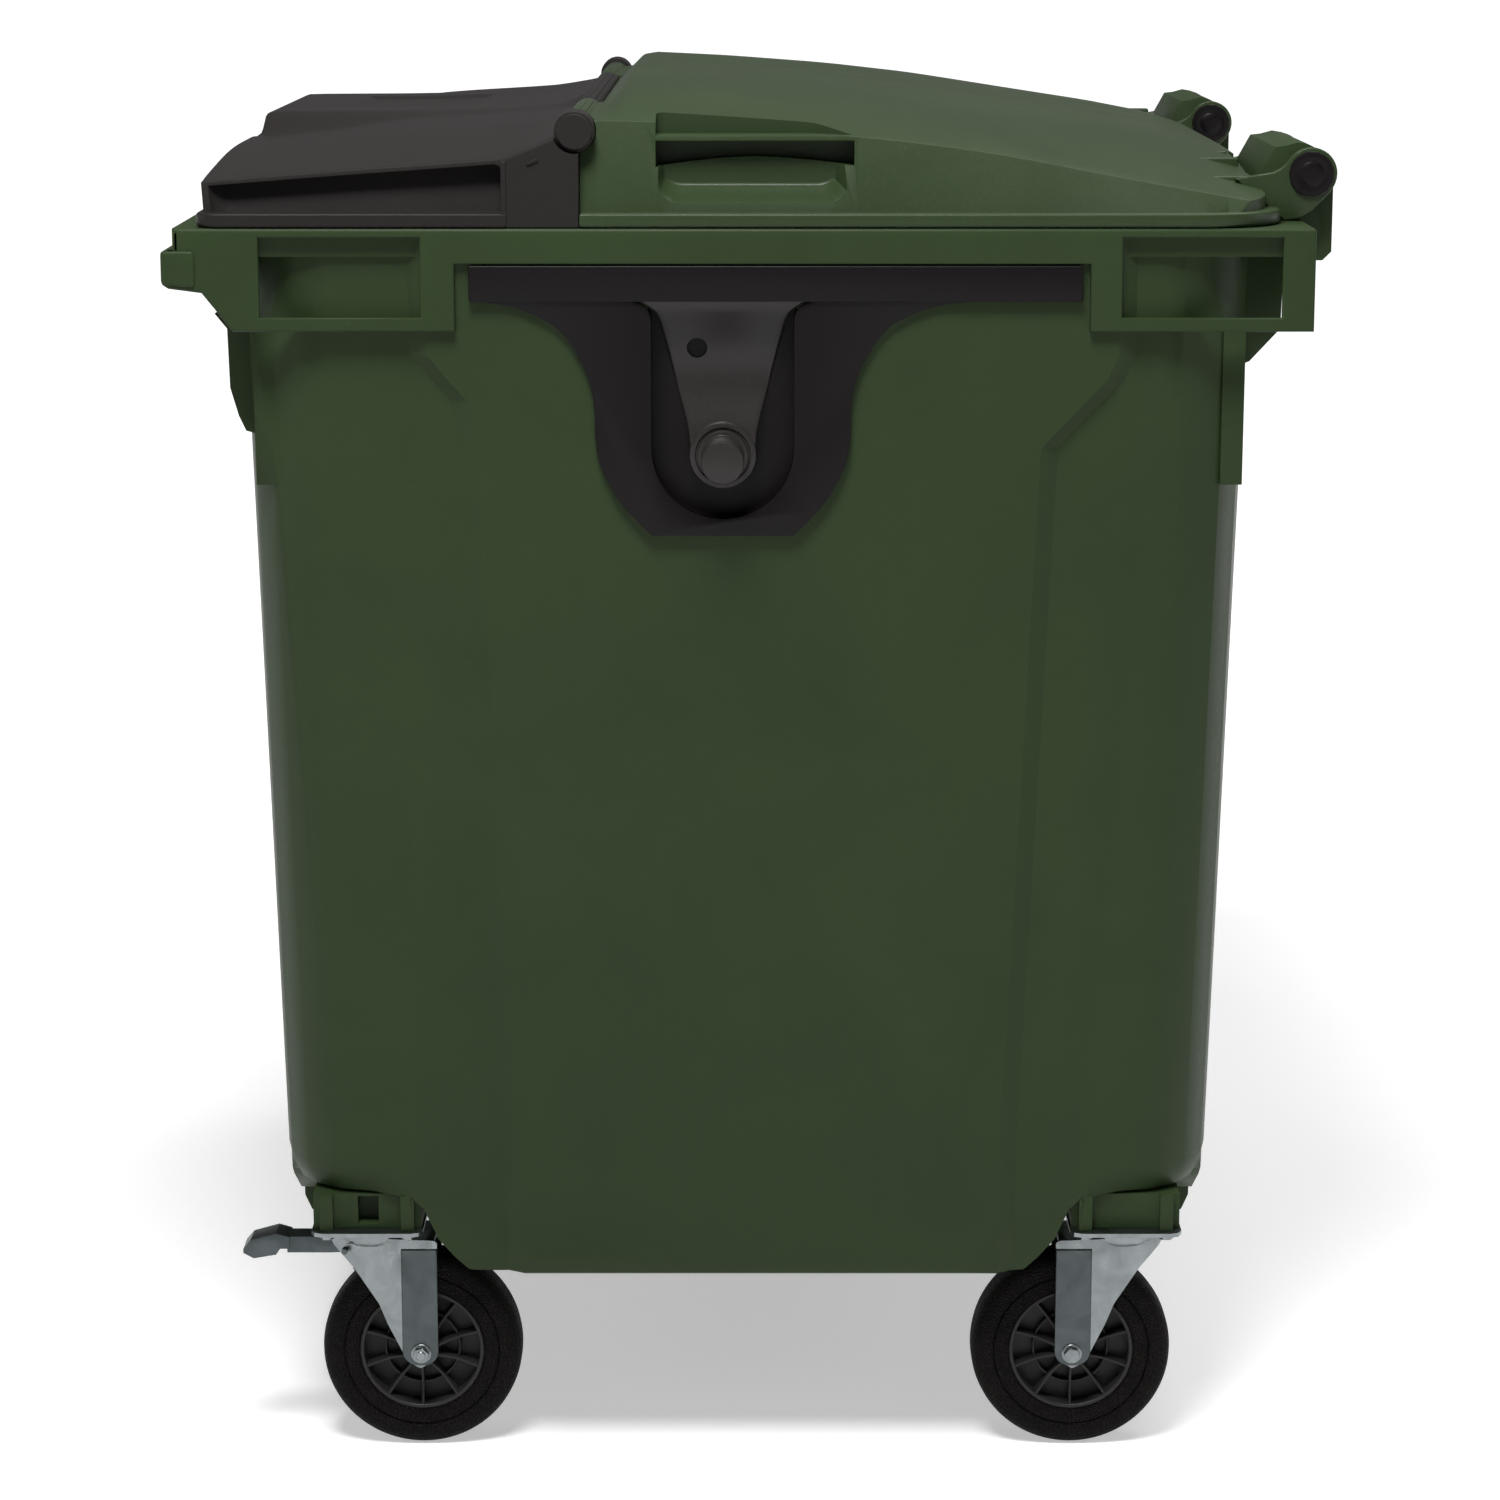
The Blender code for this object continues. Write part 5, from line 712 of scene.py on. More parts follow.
def cheekSlab(low, high):
    bend = arcPoints(lidPlan["mainHinge"], mainLidPlan["cheekRadius"], range(150, -31, -10))
    points = list(mainLidPlan["cheekTop"]) + bend + list(mainLidPlan["cheekLow"])
    return slab(points, 0, low, high, edge=mainLidPlan["cheekEdge"])


# The lid's plan with its two rear corners round, as an upright cutter
def rearPlan(inset, cornerLess, low, high):
    return slab(planOf(lidPlan["sideX"] - inset, mainLidPlan["frontY"] - mainLidPlan["lead"],
                       mainLidPlan["rearY"] - inset), 2, low, high,
                corner=mainLidPlan["corner"] - cornerLess, steps=12, skip=(0, 1))


def makeLidShell(plan, wall, base):
    deckX, notchY, cornerIn = plan["deckX"], plan["notchY"], plan["cornerIn"]
    shell = carved(mainLidBody(0.0, base), [rearPlan(0.0, 0.01, base - 0.01, pastTop)], "INTERSECT")
    side, front, rear = plan["creaseFrom"]
    brim = [e for e in sharpEdges(shell, 26) if min(v.co.z for v in e.verts) > base + plan["creaseLift"]
            and (abs(e.verts[0].co.x) > side or not front < e.verts[0].co.y < rear)]
    roundEdges(shell, plan["crease"], 5, edges=brim)
    inside = mainLidBody(wall, base - 0.02)
    inside = carved(inside, [rearPlan(wall, cornerIn, base - 0.04, pastTop)], "INTERSECT")
    grown = block((deckX[0] - wall, deckX[1] + wall), (notchY[0] - wall, notchY[1]), (base - 0.05, 1.32))
    inside = carved(inside, [hingeRod(lidPlan["bossRoom"] + wall, -1.0, 1.0)]
                    + mirroredTools(gripRoom() + [grown]))
    low, high = lidPlan["knuckleX"]
    notch = block(deckX, notchY, (base - 0.01, 1.32))
    bossHole = hingeRod(lidPlan["bossRoom"], high - lidPlan["endPlay"], pastSide)
    middleHole = hingeRod(lidPlan["middleRoom"], -low + lidPlan["play"], low - lidPlan["play"])
    shell = carved(shell, [inside, middleHole] + mirroredTools(gripTools() + [notch, bossHole]))
    front, rear = plan["gripY"]
    rims = [e for e in sharpEdges(shell, 40) if all(
        abs(v.co.x) > 0.600 and front - 0.004 < v.co.y < rear + 0.004 and v.co.z > 1.240 for v in e.verts)]
    roundEdges(shell, plan["gripRim"], 3, edges=rims)
    return shell


def makeLidFlange(plan, wall, base):
    flange = slab(planOf(lidPlan["halfX"], plan["frontY"], plan["flangeRear"]), 2, base, lidPlan["flangeTop"],
                  corner=plan["corner"], steps=14, edge=plan["flangeEdge"], skip=(0, 1))
    hollow = rearPlan(wall, plan["cornerIn"], base - 0.01, 1.30)
    front = block((-pastSide, pastSide), (plan["frontY"] - 0.001, plan["frontY"] + wall), (base - 0.02, 1.26))
    hollow = carved(hollow, [front])
    notch = block(plan["deckX"], plan["notchY"], (base - 0.01, 1.32))
    return carved(flange, [hollow] + mirroredTools([notch]))


def makeMainLid():
    plan, wall, base = mainLidPlan, lidPlan["wall"], lidPlan["base"]
    parts = [makeLidShell(plan, wall, base), makeLidFlange(plan, wall, base)]
    deckX, deckY, lap, half = plan["deckX"], plan["deckY"], plan["deckLap"], plan["deckRibHalf"]
    pieces = [block((deckX[0] - lap, deckX[1] + lap), deckY, (lidPlan["flangeTop"] - lap, plan["deckZ"]),
                    plan["deckEdge"])]
    ribY = (deckY[0] + plan["deckRibY"][0], deckY[1] - plan["deckRibY"][1])
    for x in plan["deckRibX"]:
        pieces.append(block((x - half, x + half), ribY, (lidPlan["flangeTop"], plan["deckRibTop"]),
                            plan["deckRibEdge"]))
    pieces += [cheekSlab(*pair) for pair in plan["cheekX"]]
    (low, high), play = lidPlan["knuckleX"], lidPlan["endPlay"]
    pieces.append(hingeRod(lidPlan["knuckle"], low + play, high - play, 48, lidPlan["knuckleEdge"]))
    pieces += hingeRibs(*plan["hingeRibX"])
    return joined(*parts, *[bothSides(piece) for piece in pieces])


# Round caps on the cheeks, slightly domed with a pressed ring
def makeHingeCap(face, outward):
    radius = mainLidPlan["capRadius"]
    steps = (
        (0.0, 0.0), (0.0, radius), (0.0016, radius), (0.0026, radius - 0.0008), (0.0030, radius - 0.0022),
        (0.0033, 0.0135), (0.0029, 0.0128), (0.0029, 0.0119), (0.0034, 0.0112), (0.0037, 0.0060),
        (0.0038, 0.0),
    )
    profile = [(face + outward * place, reach) for place, reach in steps]
    return turnedShape(profile, 0, (0.0, *lidPlan["mainHinge"]), 64)


finishPiece(makeMainLid(), "main_lid_shell", "main_lid", lidGreen, "lid_green", ("main_lid",), 38)
caps = [bothSides(makeHingeCap(*place)) for place in mainLidPlan["capPlaces"]]
finishPiece(joined(*caps), "hinge_caps", "main_lid", blackPlastic, "black_plastic")
print("stage: main lid made")


frontLidPlan = {
    "frontY": -0.5117, "rearY": -0.1632, "flangeFront": -0.5205, "flangeEdge": 0.0026, "corner": 0.0200,
    "edgeX": 0.6310, "lead": 0.0030, "brimEdge": 0.0010, "blockY": -0.2310, "blockX": 0.6435,
    "blockEdge": 0.0010,
    # heights along the side and along the middle ridge, and of the platform on it
    "side": ((-0.5160, 1.2655), (-0.386, 1.2757), (-0.2363, 1.2862), (-0.2309, 1.2875), (-0.1844, 1.3074),
             (-0.1750, 1.3120), (-0.1632, 1.3125)),
    "ridge": ((-0.5160, 1.2845), (-0.417, 1.2943), (-0.359, 1.3029), (-0.236, 1.3096), (-0.190, 1.3150),
              (-0.1632, 1.3160)),
    "platform": (
        (-0.5160, 1.2800), (-0.5080, 1.2815), (-0.5050, 1.3050), (-0.4980, 1.3080), (-0.3500, 1.3088),
        (-0.2300, 1.3130), (-0.1950, 1.3175), (-0.1830, 1.3225), (-0.1780, 1.3250), (-0.1700, 1.3262),
        (-0.1632, 1.3240),
    ),
    "across": (
        (0.0, 1.0), (0.300, 1.0), (0.376, 0.95), (0.450, 0.80), (0.600, 0.20), (0.630, 0.0), (0.70, 0.0),
    ),
    "platformX": (0.185, 0.235), "recessX": 0.105, "recessY": (-0.4160, -0.2950), "recessDepth": 0.0028,
    "recessSlope": 0.0080,
    "fingerIn": 0.6145, "fingerDraft": 0.0080, "fingerY": (-0.5090, -0.2351), "fingerLow": 1.2385,
    "lip": 0.0034,
    "fingerCorner": 0.0080, "fingerBack": 0.0240, "fingerReach": 0.0300,
    "tabX": (-0.0020, 0.0016), "tabY": (-0.2120, -0.2000), "tabZ": (1.2840, 1.2868), "tabEdge": 0.0006,
    "tabTurn": 22, "tabMiddle": (0.6435, -0.2060, 1.2854), "hingeRibX": (-0.2850, 0.2850), "bossEnd": 0.6350,
    "cutRoom": 0.0012, "cutX": 0.5000, "capRadius": 0.0166, "capX": 0.6340, "frameEdge": 0.0009,
}


def frontLidHeight(inset):
    plan = frontLidPlan
    side, ridge = eased(plan["side"], 1), eased(plan["ridge"], 2)
    platform, across = eased(plan["platform"], 1, 0.12), eased(plan["across"], 2)
    near, far = plan["platformX"]
    slope, (start, end) = plan["recessSlope"], plan["recessY"]

    def heightAt(x, y):
        reach = abs(x)
        low = readTable(side, y)
        high = readTable(ridge, y)
        z = low + (high - low) * readTable(across, reach)
        if reach < far:
            raised = readTable(platform, y)
            way = min(max((far - reach) / (far - near), 0.0), 1.0)
            z += (raised - z) * way * way * (3 - 2 * way)
        if reach < plan["recessX"] + slope and start - slope < y < end + slope and not inset:
            room = min(plan["recessX"] + slope - reach, y - start + slope, end + slope - y) / slope
            z -= plan["recessDepth"] * min(max(room, 0.0), 1.0)
        return z - inset
    return heightAt


# Columns and rows lie close together where the form turns
def frontLidBody(inset, base):
    edge = frontLidPlan["edgeX"] - inset
    half = [
        0.0, 0.03, 0.06, 0.085, 0.105, 0.109, 0.113, 0.125, 0.138, 0.145, 0.155, 0.168, 0.180, 0.192, 0.205,
        0.218, 0.228, 0.236, 0.250, 0.275, 0.30, 0.32, 0.34, 0.36, 0.38, 0.41, 0.44, 0.47, 0.50, 0.53, 0.56,
        0.585, 0.605, 0.617,
    ]
    half = [x for x in half if x < edge - 0.004] + [edge]
    xs = [-x for x in reversed(half[1:])] + half
    front, rear = frontLidPlan["frontY"] - frontLidPlan["lead"] + inset, frontLidPlan["rearY"] - inset
    places = [
        -0.5095, -0.5065, -0.5045, -0.5032, -0.5015, -0.498, -0.490, -0.482, -0.477, -0.472, -0.466, -0.455,
        -0.437, -0.424, -0.4200, -0.4160, -0.400, -0.378, -0.355, -0.333, -0.312, -0.2950, -0.2910, -0.2870,
        -0.270, -0.255, -0.240, -0.236, -0.232, -0.226, -0.218, -0.208, -0.198, -0.192, -0.187, -0.183,
        -0.180, -0.178, -0.174, -0.170, -0.167,
    ]
    ys = [front] + [y for y in places if front + 0.002 < y < rear - 0.002] + [rear]
    return lidBody(xs, ys, frontLidHeight(inset), base, lidPlan["sideX"] - inset,
                   frontLidPlan["frontY"] + inset, rear)


def fingerTool(grow=0.0):
    plan = frontLidPlan
    side, lip = eased(plan["side"], 1), plan["lip"] - grow
    low, high = plan["fingerY"]
    top = [(y, readTable(side, y) - lip) for y in (low, -0.47, -0.42, -0.37, -0.32, -0.27, high)]
    top[0] = (low - grow, top[0][1])
    top[-1] = (high + grow, top[-1][1])
    bottom, inner = plan["fingerLow"] - grow, plan["fingerIn"] - grow
    shape = slab(top + [(high + grow, bottom), (low - grow, bottom)], 0, inner, pastSide,
                 corner=plan["fingerCorner"], steps=6, skip=(0, 1, 2, 3, 4, 5, 7, 8))
    back = [e for e in shape.edges if all(abs(v.co.x - plan["fingerIn"] + grow) < 1e-6
                                          and v.co.y < low - grow + 1e-5 for v in e.verts)]
    roundEdges(shape, plan["fingerBack"], 8, edges=back)
    for vert in shape.verts:
        if vert.co.x < inner + plan["fingerReach"] and vert.co.z < bottom + 0.001:
            vert.co.x += plan["fingerDraft"]
    return shape


def makeFrontShell(plan, wall, base):
    shell = frontLidBody(0.0, base)
    brim = [e for e in sharpEdges(shell, 35) if min(v.co.z for v in e.verts) > base + 0.02]
    roundEdges(shell, plan["brimEdge"], 2, edges=brim)
    inside = frontLidBody(wall, base - 0.02)
    inside = carved(inside, [hingeRod(lidPlan["boss"] + wall, -1.0, 1.0)] + mirroredTools([fingerTool(wall)]))
    (low, high), play = lidPlan["knuckleX"], lidPlan["play"]
    y, z = lidPlan["frontHinge"]
    room = lidPlan["knuckle"] + 2 * play
    bend = arcPoints((y, z), room, range(180, 361, 10))
    channel = slab(bend + [(y + room, pastTop), (y - room, pastTop)], 0, low - 3 * play, high + 2 * play)
    return carved(shell, [inside] + mirroredTools([fingerTool(), channel]))


def makeFrontFlange(plan, wall, base):
    flange = slab(planOf(lidPlan["halfX"], plan["flangeFront"], plan["blockY"]), 2, base,
                  lidPlan["flangeTop"], corner=plan["corner"], steps=10, edge=plan["flangeEdge"], skip=(2, 3))
    hollow = slab(planOf(lidPlan["sideX"] - wall, plan["frontY"] + wall, 0.0), 2, base - 0.01, 1.30,
                  corner=0.012, steps=8, skip=(2, 3))
    return carved(flange, [hollow])


# Right of the finger recess: the block under the boss, the recess's upright frame, boss, cap and tab
def makeHingeEnd(plan, base):
    side, inner, blockX, blockY = plan["side"], plan["fingerIn"], plan["blockX"], plan["blockY"]
    top = [(y, readTable(side, y) - 0.0003) for y in (blockY, -0.2063, -0.1844, -0.1750)]
    outline = top + [(plan["rearY"], 1.3000), (plan["rearY"], base), (blockY, base)]
    blockSide = slab(outline, 0, inner, blockX, edge=plan["blockEdge"])
    blockSide = carved(blockSide, [hingeRod(lidPlan["boss"] + plan["cutRoom"], plan["cutX"], pastSide)])
    high = plan["fingerY"][1]
    frame = block((inner, lidPlan["halfX"] - 0.0004), (high - 0.0002, blockY + 0.0006),
                  (base + 0.002, readTable(side, high) - 0.0006), plan["frameEdge"])
    boss = hingeRod(lidPlan["boss"], lidPlan["knuckleX"][1] + 2 * lidPlan["play"], plan["bossEnd"], 64,
                    lidPlan["knuckleEdge"])
    start, radius = plan["capX"], plan["capRadius"]
    cap = turnedShape(
        ((start, 0.0), (start, radius), (start + 0.0044, radius), (start + 0.0052, radius - 0.0008),
         (start + 0.0054, 0.0)), 0, (0.0, *lidPlan["frontHinge"]), 56)
    tab = block((blockX + plan["tabX"][0], blockX + plan["tabX"][1]), plan["tabY"], plan["tabZ"],
                plan["tabEdge"])
    turnedBy(tab, plan["tabTurn"], "X", plan["tabMiddle"])
    return [blockSide, frame, boss, cap, tab]


def makeFrontLid():
    plan, wall, base = frontLidPlan, lidPlan["wall"], lidPlan["base"]
    end = lidPlan["knuckleX"][0] - 3 * lidPlan["play"]
    knuckle = hingeRod(lidPlan["knuckle"], -end, end, 48, lidPlan["knuckleEdge"])
    parts = [makeFrontShell(plan, wall, base), makeFrontFlange(plan, wall, base), knuckle]
    parts += hingeRibs(*plan["hingeRibX"])
    return joined(*parts, *[bothSides(piece) for piece in makeHingeEnd(plan, base)])


finishPiece(makeFrontLid(), "front_lid_shell", "front_lid", lidDark, "lid_dark", ("front_lid",), 38)
print("stage: front lid made")


# Trunnions: a lobed plate with a pressed tray, a hollow wedge under the bar and the pin

trunnionPlan = {
    "y": -0.0297, "z": 1.0102, "barY": (-0.2664, 0.3060), "barZ": (1.1560, 1.1896), "barX": (0.6379, 0.6455),
    "barCorner": 0.0020, "barEdge": 0.0014, "plateX": (0.6379, 0.6425), "plateEdge": 0.0008,
    "recessHalf": 0.0670, "recessZ": 1.0185, "flare": 0.0180,
    "trayX": (0.6092, 0.6120), "trayWall": 0.0026, "trayUnder": 0.0010,
    # half of the plate's outline: distance from the pin's middle, height
    "lobe": (
        (0.2300, 1.1580), (0.2300, 1.1556), (0.2120, 1.1540), (0.1950, 1.1505), (0.1770, 1.1440),
        (0.1590, 1.1346), (0.1460, 1.1220), (0.1370, 1.1080), (0.1295, 1.0935), (0.1241, 1.0785),
        (0.1212, 1.0635), (0.1201, 1.0487), (0.1201, 1.0330), (0.1189, 1.0170), (0.1150, 1.0010),
        (0.1088, 0.9870), (0.1005, 0.9725), (0.0910, 0.9597), (0.0790, 0.9470), (0.0670, 0.9353),
    ),
    # rows of the wedge: height, face, half width
    "wedge": (
        (1.1575, 0.6452, 0.0790), (1.1520, 0.6440, 0.0700), (1.1450, 0.6392, 0.0622),
        (1.1372, 0.6335, 0.0593), (1.1272, 0.6268, 0.0568), (1.1172, 0.6214, 0.0542),
        (1.1072, 0.6174, 0.0516), (1.0962, 0.6153, 0.0487), (1.0852, 0.6150, 0.0459),
        (1.0742, 0.6165, 0.0431), (1.0632, 0.6192, 0.0402), (1.0512, 0.6228, 0.0368),
        (1.0412, 0.6258, 0.0342), (1.0312, 0.6282, 0.0322), (1.0212, 0.6292, 0.0313),
        (1.0102, 0.6294, 0.0310),
    ),
    "wedgeBack": 0.6110, "wedgeColumns": 12, "flankEdge": 0.0024, "discRadius": 0.0318, "discFace": 0.6306,
    "holePlace": (-0.0242, 0.1003), "holeRadius": 0.0097, "cutFrom": 0.6000,
    "shaft": 0.0200, "shaftEnd": 0.6850, "collar": 0.0240, "collarX": (0.6303, 0.6388),
}


# An outline that is the same on both sides of the pin
def aboutPin(side):
    y = trunnionPlan["y"]
    return [(y + place, z) for place, z in side] + [(y - place, z) for place, z in reversed(side)]


def trayOutline(grow=0.0):
    half = trunnionPlan["recessHalf"] + grow
    top, flare = trunnionPlan["barZ"][0], trunnionPlan["flare"]
    side = arcPoints((half + flare, top - flare), flare, range(90, 181, 15))
    side += arcPoints((0.0, trunnionPlan["recessZ"]), half, range(0, -91, -6))
    whole = aboutPin(side)
    del whole[len(side)]  # the lowest point stands once
    return whole


def makeWedge():
    rows, back = trunnionPlan["wedge"], trunnionPlan["wedgeBack"]
    y, z = trunnionPlan["y"], trunnionPlan["z"]
    wedge = newShape()
    bmesh.ops.create_grid(wedge, x_segments=trunnionPlan["wedgeColumns"], y_segments=len(rows) - 1, size=1.0)
    for vert in wedge.verts:
        height, face, half = rows[round((1.0 - vert.co.y) / 2.0 * (len(rows) - 1))]
        vert.co = Vector((face, y + half * vert.co.x, height))
    rim = [edge for edge in wedge.edges if edge.is_boundary]
    drawn = bmesh.ops.extrude_edge_only(wedge, edges=rim)
    for vert in vertsOf(drawn):
        vert.co.x = back
    bmesh.ops.holes_fill(wedge, edges=[edge for edge in wedge.edges if edge.is_boundary], sides=0)
    bmesh.ops.recalc_face_normals(wedge, faces=wedge.faces)
    flanks = [e for e in sharpEdges(wedge, 50) if all(v.co.x > back + 0.001 for v in e.verts)
              and abs(e.verts[0].co.z - e.verts[1].co.z) > 1e-4]
    roundEdges(wedge, trunnionPlan["flankEdge"], 3, edges=flanks)
    across, up = trunnionPlan["holePlace"]
    hole = rod(trunnionPlan["holeRadius"], trunnionPlan["cutFrom"], pastSide, (0.0, y + across, z + up), 48)
    wedge = carved(wedge, [hole])
    radius, face = trunnionPlan["discRadius"], trunnionPlan["discFace"]
    disc = turnedShape(
        ((back, 0.0), (back, radius), (face - 0.0020, radius), (face - 0.0008, radius - 0.0006),
         (face, radius - 0.0020), (face, radius - 0.0054), (face - 0.0014, radius - 0.0064),
         (face - 0.0014, 0.0)), 0, (0.0, y, z), 72)
    return joined(wedge, disc)


def makeTrunnionPlate():
    plate = slab(aboutPin(trunnionPlan["lobe"]), 0, *trunnionPlan["plateX"])
    plate = carved(plate, [slab(trayOutline(), 0, trunnionPlan["cutFrom"], pastSide)])
    roundEdges(plate, trunnionPlan["plateEdge"], 2, 50)
    low, high = trunnionPlan["trayX"]
    front = trunnionPlan["plateX"][1] - trunnionPlan["trayUnder"]
    tray = slab(trayOutline(trunnionPlan["trayWall"]), 0, low, front)
    tray = carved(tray, [slab(trayOutline(), 0, high, pastSide)])
    bar = slab(oblong(trunnionPlan["barY"], trunnionPlan["barZ"]), 0, *trunnionPlan["barX"],
               corner=trunnionPlan["barCorner"], edge=trunnionPlan["barEdge"])
    return joined(plate, tray, bar)


def makeTrunnionPin():
    shaft, end, collar = trunnionPlan["shaft"], trunnionPlan["shaftEnd"], trunnionPlan["collar"]
    low, high = trunnionPlan["collarX"]
    return turnedShape(
        ((low, 0.0), (low, collar), (high - 0.0016, collar), (high - 0.0004, collar - 0.0006),
         (high, collar - 0.0018), (high, shaft + 0.0006), (high + 0.0006, shaft), (end - 0.0018, shaft),
         (end - 0.0006, shaft - 0.0006), (end, shaft - 0.0020), (end, 0.0)),
        0, (0.0, trunnionPlan["y"], trunnionPlan["z"]), 72)


for side in ("left", "right"):
    for made, name, finish, stands in (
            (makeTrunnionPlate(), "plate", blackPlastic, (f"trunnion_plate_{side}",)),
            # the wedge wears the paler black: painted light for its lit, upward-facing slope
            (makeWedge(), "wedge", paleBlack, ()),
            (makeTrunnionPin(), "pin", paleBlack, (f"trunnion_pin_{side}",))):
        if side == "left":
            made = mirroredOver(made, 0)
        finishPiece(made, f"trunnion_{name}_shape_{side}", "container", finish, "black_plastic", stands, 30)
print("stage: trunnions made")


# Castors: modelled once round a swivel axis at x = y = 0, the wheel trailing towards +Y

castorPlan = {
    "out": 0.5530, "frontY": -0.3821, "rearY": 0.3669, "trail": 0.0493, "axle": 0.1000,
    "legIn": 0.0284, "legOut": 0.0314, "legTop": 0.2217, "legBend": 0.26, "legBendFrom": 0.0334,
    "legOutline": (
        (-0.854, 1.0), (-0.753, 0.909), (-0.422, 0.756), (-0.339, 0.719), (0.158, 0.420), (0.320, 0.255),
        (0.651, -0.019), (0.732, -0.082), (0.988, -0.137), (1.225, -0.073), (1.314, 0.018), (1.351, 0.946),
        (1.290, 0.967),
    ),
    "stripY": (0.0306, 0.0666), "stripZ": (0.0870, 0.209), "stripProud": 0.0020, "stripCorner": 0.0150,
    "stripEdge": 0.0018, "legCorner": 0.0070, "legEdge": 0.0007, "bendStep": 0.0040,
    "yokeY": (-0.0300, 0.0636), "yokeZ": (0.2125, 0.2165), "yokeTaper": 0.0040, "yokeCorner": 0.0120,
    "yokeEdge": 0.0012, "crownRadius": 0.0355, "crownZ": (0.2110, 0.2270),
}
wheelPlan = {
    "ribs": 10, "ribThick": 0.0026,
    "ribEdge": ((0.0165, 0.0250), (0.0215, 0.0222), (0.0290, 0.0188), (0.0372, 0.0172), (0.0460, 0.0178),
                (0.0540, 0.0196), (0.0590, 0.0213)),
    # rim, web, middle ring and boss: half a profile of (place, radius), and the number of sides
    "rings": (
        (((0.0214, 0.0582), (0.0220, 0.0588), (0.0220, 0.0615), (0.0214, 0.0620)), 96),
        (((0.0030, 0.0120), (0.0030, 0.0600)), 96),
        (((0.0116, 0.0362), (0.0120, 0.0366), (0.0120, 0.0378), (0.0116, 0.0382)), 80),
        (((0.0266, 0.0107), (0.0275, 0.0116), (0.0275, 0.0150), (0.0262, 0.0166), (0.0080, 0.0178)), 64),
    ),
    "tyreHalf": (
        (0.0212, 0.0623), (0.0234, 0.0642), (0.0243, 0.0700), (0.0243, 0.0762), (0.0228, 0.0775),
        (0.0246, 0.0789), (0.0250, 0.0830), (0.0250, 0.0880), (0.0240, 0.0925), (0.0215, 0.0962),
        (0.0165, 0.0988), (0.0085, 0.0998),
    ),
}


def atCastor(shape, end, side):
    if end == "rear":
        turnedBy(shape, 180, "Z")
    y = castorPlan["frontY"] if end == "front" else castorPlan["rearY"]
    return shifted(shape, castorPlan["out"] * (1 if side == "right" else -1), y)


def axleCentre():
    return (0.0, castorPlan["trail"], castorPlan["axle"])


# A wheel's profile is the same on both sides of its middle
def bothWays(half):
    return [(-place, radius) for place, radius in half] + list(reversed(half))


def makeTyre():
    return turnedShape(bothWays(wheelPlan["tyreHalf"]), 0, axleCentre(), 128)


def makeHub():
    middle = axleCentre()
    rings = [turnedShape(bothWays(half), 0, middle, sides) for half, sides in wheelPlan["rings"]]
    edge = wheelPlan["ribEdge"]
    points = [(x, radius) for radius, x in edge] + [(-x, radius) for radius, x in reversed(edge)]
    half = wheelPlan["ribThick"] / 2
    rib = shifted(slab(points, 2, -half, half, edge=0.0006, edgeSteps=2), *middle)
    ribs = []
    for number in range(wheelPlan["ribs"]):
        ribs.append(turnedBy(rib.copy(), 360 / wheelPlan["ribs"] * (number + 0.5), "X", middle))
    rib.free()
    return joined(*rings, *ribs)


# The pressed leg bends inwards ahead of its flat strip, so its zinc shades from side to side
def bendLeg(shape):
    start = castorPlan["legBendFrom"]
    radius = castorPlan["legBend"]
    for number in range(1, 20):
        level = start - number * castorPlan["bendStep"]
        bmesh.ops.bisect_plane(
            shape, geom=list(shape.verts) + list(shape.edges) + list(shape.faces),
            plane_co=(0.0, level, 0.0), plane_no=(0.0, 1.0, 0.0), dist=1e-6)
    for vert in shape.verts:
        reach = start - vert.co.y
        if reach > 0.0:
            vert.co.x -= radius - math.sqrt(radius * radius - reach * reach)
    return shape


def makeLeg():
    trail, axle = castorPlan["trail"], castorPlan["axle"]
    height = castorPlan["legTop"] - axle
    points = [(y * trail, axle + z * height) for y, z in castorPlan["legOutline"]]
    sheet = slab(points, 0, castorPlan["legIn"], castorPlan["legOut"], corner=castorPlan["legCorner"],
                 edge=castorPlan["legEdge"])
    bendLeg(sheet)
    low, high = castorPlan["stripY"]
    bottom, top = castorPlan["stripZ"]
    out = castorPlan["legOut"]
    strip = slab(oblong((low, high), (bottom, top)), 0, out - 0.001, out + castorPlan["stripProud"],
                 corner=castorPlan["stripCorner"], edge=castorPlan["stripEdge"], steps=8, edgeSteps=4,
                 skip=(2, 3))
    return sheet, strip


def makeFork():
    leg, strip = makeLeg()
    strips = bothSides(strip)
    low, high = castorPlan["yokeY"]
    out = castorPlan["legOut"] - 0.0004
    narrow = out - castorPlan["yokeTaper"]
    yoke = slab(((-narrow, low), (narrow, low), (out, high), (-out, high)), 2, *castorPlan["yokeZ"],
                corner=castorPlan["yokeCorner"], edge=castorPlan["yokeEdge"])
    radius = castorPlan["crownRadius"]
    bottom, top = castorPlan["crownZ"]
    crown = turnedShape(
        ((bottom, 0.0), (bottom, radius - 0.005), (bottom + 0.0035, radius - 0.0012),
         (bottom + 0.006, radius), (top - 0.004, radius), (top - 0.0016, radius - 0.0008),
         (top, radius - 0.0045), (top, 0.0125)), 2, (0.0, 0.0, 0.0), 72)
    return joined(bothSides(leg), yoke, crown), strips


